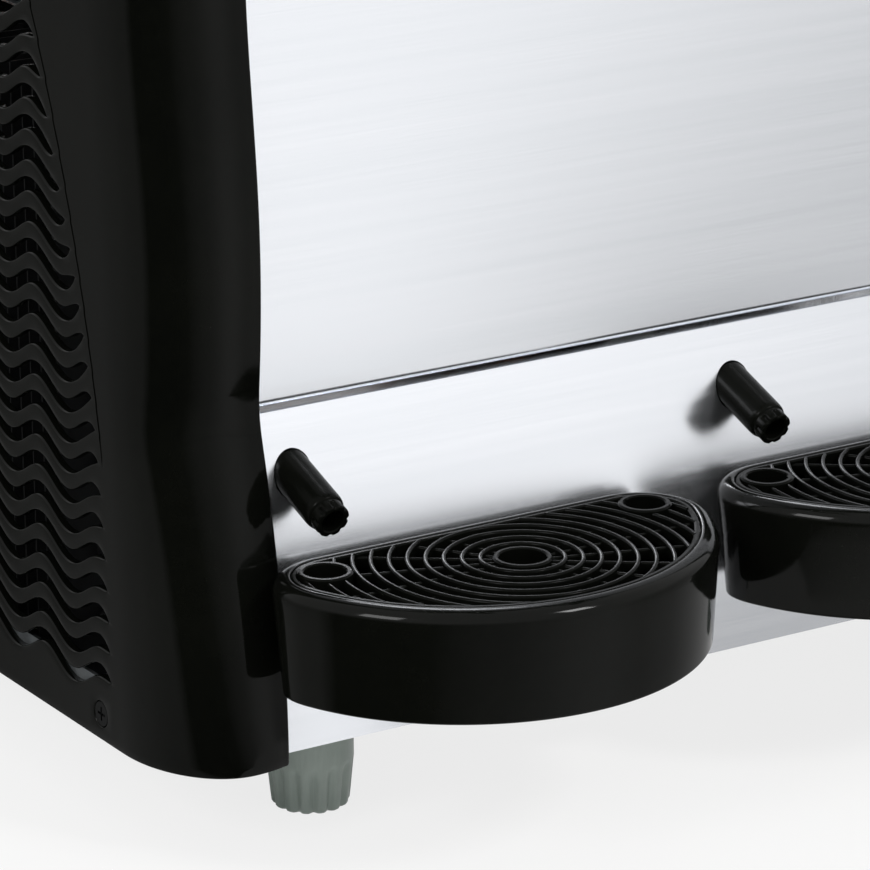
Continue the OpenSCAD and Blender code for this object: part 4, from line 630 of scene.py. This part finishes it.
def runs(mask):
    """Start and end index of each run of true values."""
    edge = np.diff(np.concatenate([[0], mask.astype(int), [0]]))
    return list(zip(np.where(edge == 1)[0], np.where(edge == -1)[0] - 1))


def within(points, inset):
    """Whether plan points lie inside the D outline drawn in by the inset, and off the finger
    holes; behind a corner's middle the distance is taken from there, else from the tray's."""
    x, y = points[:, 0], points[:, 1]
    dx, dy = np.abs(x) - CORNER_OUT, y - CORNER_Y
    in_corner = (dx > 0) & (dy * CORNER_OUT > dx * (CORNER_Y - TRAY_MID))
    inside = np.where(in_corner, np.hypot(dx, dy) < TRAY_CORNER - inset,
                      np.hypot(x, y - TRAY_MID) < TRAY_R - inset)
    clear = np.all([np.hypot(x - fx, y - fy) > FINGER_R + 1 for fx, fy in FINGERS], axis=0)
    return inside & (y < TRAY_BACK - inset) & clear


def bar(path, width, low, high):
    """Bar with a half-round top along a plan path: its section is carried along the path,
    square to it."""
    path = np.asarray(path, float)
    along = np.gradient(path, axis=0)
    along /= np.linalg.norm(along, axis=1, keepdims=True)
    side = np.stack([-along[:, 1], along[:, 0]], -1)
    top = arc((0, high - width / 2), width / 2, 0, 180, 6)
    section = np.concatenate([[(width / 2, low)], top, [(-width / 2, low)]])
    plan = path[:, None] + section[None, :, :1] * side[:, None]
    level = np.broadcast_to(section[None, :, 1:], plan.shape[:2] + (1,))
    return tube(np.concatenate([plan, level], -1))


def collar(centre, inner, outer, low, high):
    """Upright ring with rounded top edges, as a closed profile turned about its middle."""
    profile = np.array([(inner, low), (inner, high - 0.5), (inner + 0.5, high), (outer - 0.6, high),
                        (outer, high - 0.6), (outer, low)])
    t = np.linspace(0, 2 * np.pi, 48, endpoint=False)
    radius, level = profile.T[:, :, None]
    rings = np.stack([centre[0] + radius * np.cos(t), centre[1] + radius * np.sin(t),
                      np.broadcast_to(level, (len(profile), len(t)))], -1)
    return tube(rings, closed=True)


def bars(path, section, ends):
    """Bars along the runs of a path that lie on the grille; ends keeps three points of a straight run."""
    kept = [(a, b) for a, b in runs(within(path, BARS_IN)) if b - a > 3]
    return [bar(path[[a, (a + b) // 2, b]] if ends else path[a:b + 1], *section) for a, b in kept]


def grille_shells(x):
    """Drip grille: frame, rings about the drain hole, spokes under them, hub and finger collars."""
    brim = np.array([(0.3, GRILLE_Z), (0.3, 100.9), (0.8, 101.4), (1.8, 101.4), (2.4, 100.9),
                     (2.4, GRILLE_Z)])
    shells = [tube(d_rings(brim + [RIM_R, 0], 0), closed=True),
              collar((0, RING_Y), HUB_R, HUB_R + 2, GRILLE_Z, TRAY_TOP)]
    shells += [collar(f, FINGER_R, FINGER_OUT, GRILLE_Z, TRAY_TOP + 0.8) for f in FINGERS]
    for k in range(RINGS):
        r = HUB_R + (k + 1) * RING_PITCH
        t = np.linspace(0, 2 * np.pi, int(r * 3) + 60) + np.pi / 2
        shells += bars(np.stack([r * np.cos(t), RING_Y + r * np.sin(t)], -1), RING_BAR, False)
    s = np.linspace(HUB_R + 1, 130, 600)
    for k in range(SPOKES):
        t = 2 * np.pi * k / SPOKES
        shells += bars(np.stack([s * np.cos(t), RING_Y + s * np.sin(t)], -1), SPOKE_BAR, True)
    return [(p + [x, 0, 0], f) for p, f in shells]


for side, x in BAYS:
    piece(f"drip_tray_{side}_shell", tray_shells(x), gloss_abs, f"drip_tray_{side}_body",
          f"drip_tray_{side}")
    piece(f"drip_grille_{side}_rings", grille_shells(x), washed_abs, f"drip_grille_{side}_body",
          f"drip_grille_{side}")

# Drain spouts: place, length and radii, tilt, then bore and notched tip
SPOUT_Z, SPOUT_R, SPOUT_LEN, TIP_LEN, TIP_R = 127.5, 7.0, 27.0, 4.5, 6.1
SPOUT_TILT, SPOUT_SIDE, SHEET_LEAN = math.radians(20), 59.5, math.radians(12.9)
SPOUT_Y = STEEL_Y - SWEEP * (1 - ((SPOUT_Z - PANEL_Z) / (SEAM_Z - PANEL_Z)) ** 2)
BORE_R, TIP_ROUND, NOTCHES, NOTCH_DEEP = 4.0, 0.7, 8, 0.75


def spout_shells(x):
    """Spout: a tilted tube with a rounded shoulder, a notched tip and its bore, one profile
    turned about the tilted axis; behind the sheet, the flange and level hose end."""
    base = (x, SPOUT_Y, SPOUT_Z)
    down = (0, -math.cos(SPOUT_TILT), -math.sin(SPOUT_TILT))
    a = np.radians(np.linspace(0, 90, 9))
    tip = SPOUT_LEN - TIP_LEN
    shoulder = np.stack([tip - 3.1 + 2.9 * np.sin(a),
                         TIP_R + 0.2 + (SPOUT_R - TIP_R - 0.2) * np.cos(a)], -1)
    edge = arc((SPOUT_LEN - TIP_ROUND, TIP_R - TIP_ROUND), TIP_ROUND, 90, 0, 4)
    bore = [(SPOUT_LEN, BORE_R + 0.4), (SPOUT_LEN - 0.4, BORE_R), (8, BORE_R)]
    profile = np.concatenate([[(-4, SPOUT_R)], shoulder,
                              [(tip, TIP_R), (tip + 0.9, TIP_R), (tip + 1.3, TIP_R)], edge, bore])
    outside = np.arange(len(profile))[:, None] < len(profile) - len(bore)

    def notched(s, t):
        """Grooves round the tip: the positive half of a cosine, outside only."""
        depth = -NOTCH_DEEP * np.clip(np.cos(NOTCHES * t), 0, 1) ** 1.5
        return np.where(outside, depth * ((s > tip + 1) & (s < SPOUT_LEN + 1)), 0)

    tilted = lathe(profile, base, down, (1, 0, 0), 96, notched)
    flange = lathe([(1.5, 8.3), (1.7, 8.5), (3.8, 8.5), (4.0, 8.3)], base,
                   (0, math.cos(SHEET_LEAN), -math.sin(SHEET_LEAN)), (1, 0, 0), 48)
    barb = lathe([(2.2, 6.5), (29.4, 6.5), (32.6, 6.8), (33.4, 6.2)], base, (0, 1, 0), (1, 0, 0), 48)
    return [tilted, flange, barb]


both_spouts = [s for _, bay in BAYS for s in spout_shells(bay - SPOUT_SIDE)]
piece("drain_spouts_turned", both_spouts, washed_abs, "cabinet", "drain_spouts")

# Feet: where each stands, and its ribs
FEET = {"foot_front_left": (-130, -107), "foot_front_right": (130, -107),
        "foot_rear_left": (-130, 193), "foot_rear_right": (130, 193)}
RIBS, RIB_DEEP, RIB_TOP = 14, 1.5, 17.2
# Foot as (height, radius): rounded base, ribbed body, smooth collar, stud
FOOT_PROFILE = ((0, 11.5), (0.15, 12.2), (0.6, 12.9), (1.4, 13.4), (4, 13.7), (8, 14.1), (12, 14.5),
                (14.5, 14.75), (16, 14.9), (RIB_TOP, 15), (18.4, 15), (24, 15), (28, 15), (28.5, 14.8),
                (28.7, 14.2), (28.7, 5), (41.2, 5), (42, 4.2))


def foot_grooves(s, t):
    """Grooves between rounded ribs: a raised cosine round the foot, squared, that runs out
    below the collar."""
    return -RIB_DEEP * (0.5 - 0.5 * np.cos(RIBS * t)) ** 2 * np.clip((RIB_TOP - s) / 4, 0, 1) ** 0.5


def foot_shells(x, y):
    """Foot: a tapered body with ribs, turned about its stud."""
    return [lathe(FOOT_PROFILE, (x, y, 0), (0, 0, 1), (1, 0, 0), 196, foot_grooves)]


for foot, (x, y) in FEET.items():
    piece(f"{foot}_ribbed", foot_shells(x, y), foot_nylon, foot, foot)

# Lids: plan and heights, and the grip's plan
LID_HALF, LID_MID, LID_CORNER, RIM_Z, LID_TOP = (88.2, 142.8), -2.0, 10.0, 705.0, 745.0
GRIP_HALF, GRIP_CORNER = (32, 7), 6.9


def round_plan(half, corner, inset, steps=10):
    """Rounded rectangle drawn in by the inset, as four quarter circles joined by its sides."""
    reach = np.array(half) - inset - corner
    turn = np.concatenate([np.radians(np.linspace(90 * k, 90 * k + 90, steps)) for k in range(4)])
    sign = np.repeat([[1, 1], [-1, 1], [-1, -1], [1, -1]], steps, 0)
    return sign * reach + corner * np.stack([np.cos(turn), np.sin(turn)], -1)


def bend(before, corner, after, steps=7):
    """Points of a quadratic curve that rounds a corner of a profile."""
    t = np.linspace(0, 1, steps)[:, None]
    return (1 - t) ** 2 * before + 2 * t * (1 - t) * corner + t ** 2 * after


def carried(profile, half, corner, x):
    """Rounded rectangles carried through a profile of (inset, height); a negative inset flares."""
    plans = [(round_plan(half, corner(i), i), z) for i, z in profile]
    rings = [np.concatenate([plan, np.full((len(plan), 1), z)], 1) for plan, z in plans]
    return tube(np.array(rings) + [x, LID_MID, 0])


def lid_shells(x):
    """Lid: from its ceiling down the inner slope to the ledge on the bowl's rim and the skirt, then
    up outside past a groove and the sloped crown to its flat top; on it an oblong grip with a waist."""
    inside = [(24, 742), (22.2, 741.8), (21.4, 740), (6.4, 711), (6.2, 709), (6.2, RIM_Z + 0.3),
              (5.9, RIM_Z), (2.3, RIM_Z), (2.0, RIM_Z - 0.3), (2.0, 693.6), (1.7, 693)]
    skirt = np.concatenate([[(0.7, 693)], bend(*np.array([(0.5, 693), (0, 693), (0, 693.6)])),
                            [(0, 703.6), (0.5, 704.0), (0.5, 705.2), (0, 705.6)]])
    crown = np.concatenate([bend(*np.array([(0, 706), (0, 711), (2.4, 716)])),
                            bend(*np.array([(13.2, 738.2), (16.4, LID_TOP), (23, LID_TOP)]))])
    grip = [(-1.6, LID_TOP - 0.2), (-0.6, 745.3), (0.4, 746.2), (0.9, 747.6), (0.8, 749.4), (0.3, 751),
            (0.2, 751.8), (0.5, 752.5), (1.2, 752.9), (2.2, 753)]
    shell = np.concatenate([inside, skirt, crown])
    return [carried(shell, LID_HALF, lambda inset: LID_CORNER - min(inset, 4) / 2, x),
            carried(grip, GRIP_HALF, lambda inset: GRIP_CORNER - inset, x)]


for side, x in BAYS:
    piece(f"lid_{side}_moulded", lid_shells(x), gloss_abs, f"lid_{side}_body", f"lid_{side}",
          sharp=30)

# Finishes of the solids that stay
FINISHES = {
    "black_plastic": grained_abs, "switch_plastic": switch_nylon, "green_plastic": green_rocker,
    "brushed_steel": front_steel, "zinc_sheet": zinc_sheet, "screw_steel": screw_zinc,
    "grey_plastic": foot_nylon, "clear_plastic": bowl_plastic, "white_plastic": white_acetal,
    "hose_rubber": hose_pvc, "black_rubber": black_rubber, "black_enamel": stoved_enamel,
    "motor_paint": motor_paint, "fin_aluminium": fin_aluminium, "copper": copper,
}
SPECIAL = {"rear_panel": back_steel, "freezing_drums": drum_steel, "bowl_gaskets": silicone,
           "drive_shaft_left": ground_steel, "drive_shaft_right": ground_steel,
           "tap_spring_left": ground_steel, "tap_spring_right": ground_steel,
           "tap_pin_left": ground_steel, "tap_pin_right": ground_steel,
           "tap_lever_left": gloss_abs, "tap_lever_right": gloss_abs,
           "control_fascia": gloss_abs, "panel_screws": recess_shaded_screw}
# Radius of the moulded edges, and the angles past which an edge is rounded or kept crisp
ROUNDED = {"control_fascia": 0.8, "tap_cap_left": 0.6, "tap_cap_right": 0.6}
ROUND_PAST, CRISP_PAST = math.radians(40), math.radians(32)
slot_of = {p["node"]: p["material_slot"] for p in frame["record"]["subparts"]}


def round_edges(node, radius):
    """Moulded edges: flat triangles are joined to whole faces, then sharp edges get a round in
    three steps."""
    whole = node.modifiers.new("whole_faces", "DECIMATE")
    whole.decimate_type = "DISSOLVE"
    whole.angle_limit = math.radians(0.5)
    bevel = node.modifiers.new("moulded_edges", "BEVEL")
    bevel.width = radius * MM
    bevel.segments = 3
    bevel.limit_method = "ANGLE"
    bevel.angle_limit = ROUND_PAST


for name, node in nodes.items():
    node.data.materials.clear()
    node.data.materials.append(SPECIAL.get(name, FINISHES[slot_of[name]]))
    weld = node.modifiers.new("weld", "WELD")
    weld.merge_threshold = 0.005 * MM
    node.data.polygons.foreach_set("use_smooth", np.ones(len(node.data.polygons), bool))
    if name in ROUNDED:
        round_edges(node, ROUNDED[name])
    split = node.modifiers.new("crisp_edges", "EDGE_SPLIT")
    split.split_angle = CRISP_PAST


# Studio: the middle of the dark sheet that paints a dark reflection, its cover by angle, its rings as
# (reach, height, share of the cover), the lamps as (place and size in metres, power in watts) with the
# point they face
DARK_REFLECTION_AT = (-120.0, -170.0)
DARK_REFLECTION_COVER = ((-150, 0), (-100, 0.4), (-70, 0.5), (-52, 0.4), (-44, 0.22), (-36, 0.03), (-26, 0.0),
               (-16, 0.1), (-3, 0.31), (9, 0.48), (21, 0.58), (34, 0.76), (44, 0.95), (60, 1.0),
               (89, 1.0), (97, 0.5), (120, 0.5), (136, 0.64), (152, 0.79), (178, 0.8), (205, 0))
DARK_REFLECTION_RINGS = ((60.0, 1, 1), (200, 1, 1), (500, 1, 1), (1000, 1, 1), (2000, 1, 1), (2060, 400, 1),
               (2150, 1000, 0))
FLOOR_REACH = 6000
LAMPS = {"key": ((0.95, -2.05, 2.2), 0.6, 30), "fill": ((-2.3, -0.9, 1.7), 0.8, 22),
         "back": ((0.4, 2.2, 2.4), 1.2, 24)}
LAMPS_FACE = (0, 0, 0.35)


def seen_rays(tree):
    """1 where a surface is looked at: by the camera, in a reflection or through clear plastic."""
    path = add(tree, "ShaderNodeLightPath")
    seen = add(tree, "ShaderNodeMath", {"operation": "MAXIMUM"}, i0=path.outputs["Is Camera Ray"],
               i1=path.outputs["Is Glossy Ray"])
    return add(tree, "ShaderNodeMath", {"operation": "MAXIMUM"}, i0=seen.outputs[0],
               i1=path.outputs["Is Transmission Ray"]).outputs[0]


def stage_piece(name, points, faces, material):
    """A floor or card of the studio, in millimetres."""
    mesh = bpy.data.meshes.new(name)
    mesh.from_pydata((np.asarray(points, float) * MM).tolist(), [], np.asarray(faces).tolist())
    mesh.materials.append(material)
    shown = bpy.data.objects.new(name, mesh)
    bpy.context.scene.collection.objects.link(shown)
    return shown


def bare(name):
    """A material without nodes, and its tree."""
    material = bpy.data.materials.new(name)
    material.use_nodes = True
    material.node_tree.nodes.clear()
    return material, material.node_tree


def paint_dark_reflection():
    """Painted reflection: a black sheet on the floor round the machine's front corner, seen only in
    reflections and casting no shadow, that paints dark bands into the glossy parts: a fan of rings and
    rays that rises as a curtain at its rim. Its cover is read from a table of angles, turning left from
    straight ahead, and thins out up the curtain."""
    angle = np.linspace(DARK_REFLECTION_COVER[0][0], DARK_REFLECTION_COVER[-1][0], 356)
    reach, height, share = np.transpose(DARK_REFLECTION_RINGS)
    a, r = np.meshgrid(np.radians(angle), reach)
    points = np.stack([DARK_REFLECTION_AT[0] - r * np.sin(a), DARK_REFLECTION_AT[1] - r * np.cos(a),
                       np.broadcast_to(height[:, None], r.shape)], -1)
    cover = share[:, None] * np.interp(np.degrees(a), *np.transpose(DARK_REFLECTION_COVER))
    material, tree = bare("painted_reflection_sheet")
    share = add(tree, "ShaderNodeAttribute", {"attribute_name": "cover"})
    clear = add(tree, "ShaderNodeBsdfTransparent")
    black = add(tree, "ShaderNodeBsdfDiffuse", {"Color": linear("#0c0c0c")})
    mix = add(tree, "ShaderNodeMixShader", i0=share.outputs["Fac"], i1=clear.outputs[0],
              i2=black.outputs[0])
    add(tree, "ShaderNodeOutputMaterial", Surface=mix.outputs[0])
    reflection_sheet = stage_piece("painted_reflection_sheet", points.reshape(-1, 3), quads(*a.shape), material)
    values = reflection_sheet.data.attributes.new("cover", "FLOAT", "POINT")
    values.data.foreach_set("value", cover.reshape(-1).astype(np.float32))
    # Painted reflection: hidden from the camera, from diffuse light and from shadows, so the sheet shows
    # only in reflections
    for ray in ("camera", "diffuse", "transmission", "shadow"):
        setattr(reflection_sheet, "visible_" + ray, False)


def studio():
    """White surroundings, a pale floor that keeps the shadow, a dark sheet seen only in reflections as a
    painted reflection, and three soft lamps.
    """
    world = bpy.data.worlds.new("studio")
    bpy.context.scene.world = world
    world.use_nodes = True
    tree = world.node_tree
    tree.nodes.clear()
    strength = add(tree, "ShaderNodeMapRange", {"To Min": 0.55, "To Max": 1.0}, Value=seen_rays(tree))
    light = add(tree, "ShaderNodeBackground", {"Color": linear("#ffffff")},
                Strength=strength.outputs[0])
    add(tree, "ShaderNodeOutputWorld", Surface=light.outputs[0])

    material, tree = bare("pale_floor")
    matt = add(tree, "ShaderNodeBsdfDiffuse", {"Color": linear("#f4f4f2")})
    glow = add(tree, "ShaderNodeEmission", {"Color": linear("#ffffff"), "Strength": 1.0})
    share = add(tree, "ShaderNodeMath", {"operation": "MULTIPLY", 1: 0.8}, i0=seen_rays(tree))
    mix = add(tree, "ShaderNodeMixShader", i0=share.outputs[0], i1=matt.outputs[0],
              i2=glow.outputs[0])
    add(tree, "ShaderNodeOutputMaterial", Surface=mix.outputs[0])
    corners = np.array([(-1, -1, 0), (1, -1, 0), (1, 1, 0), (-1, 1, 0)]) * FLOOR_REACH
    stage_piece("floor", corners, [(0, 1, 2, 3)], material)
    paint_dark_reflection()

    for name, (place, size, power) in LAMPS.items():
        data = bpy.data.lights.new(name, "AREA")
        data.shape = "SQUARE"
        data.size = size
        data.energy = power
        lamp = bpy.data.objects.new(name, data)
        lamp.location = place
        aim = Vector(LAMPS_FACE) - Vector(place)
        lamp.rotation_euler = aim.to_track_quat("-Z", "Y").to_euler()
        bpy.context.scene.collection.objects.link(lamp)
    bpy.context.scene.view_settings.view_transform = "Standard"


studio()
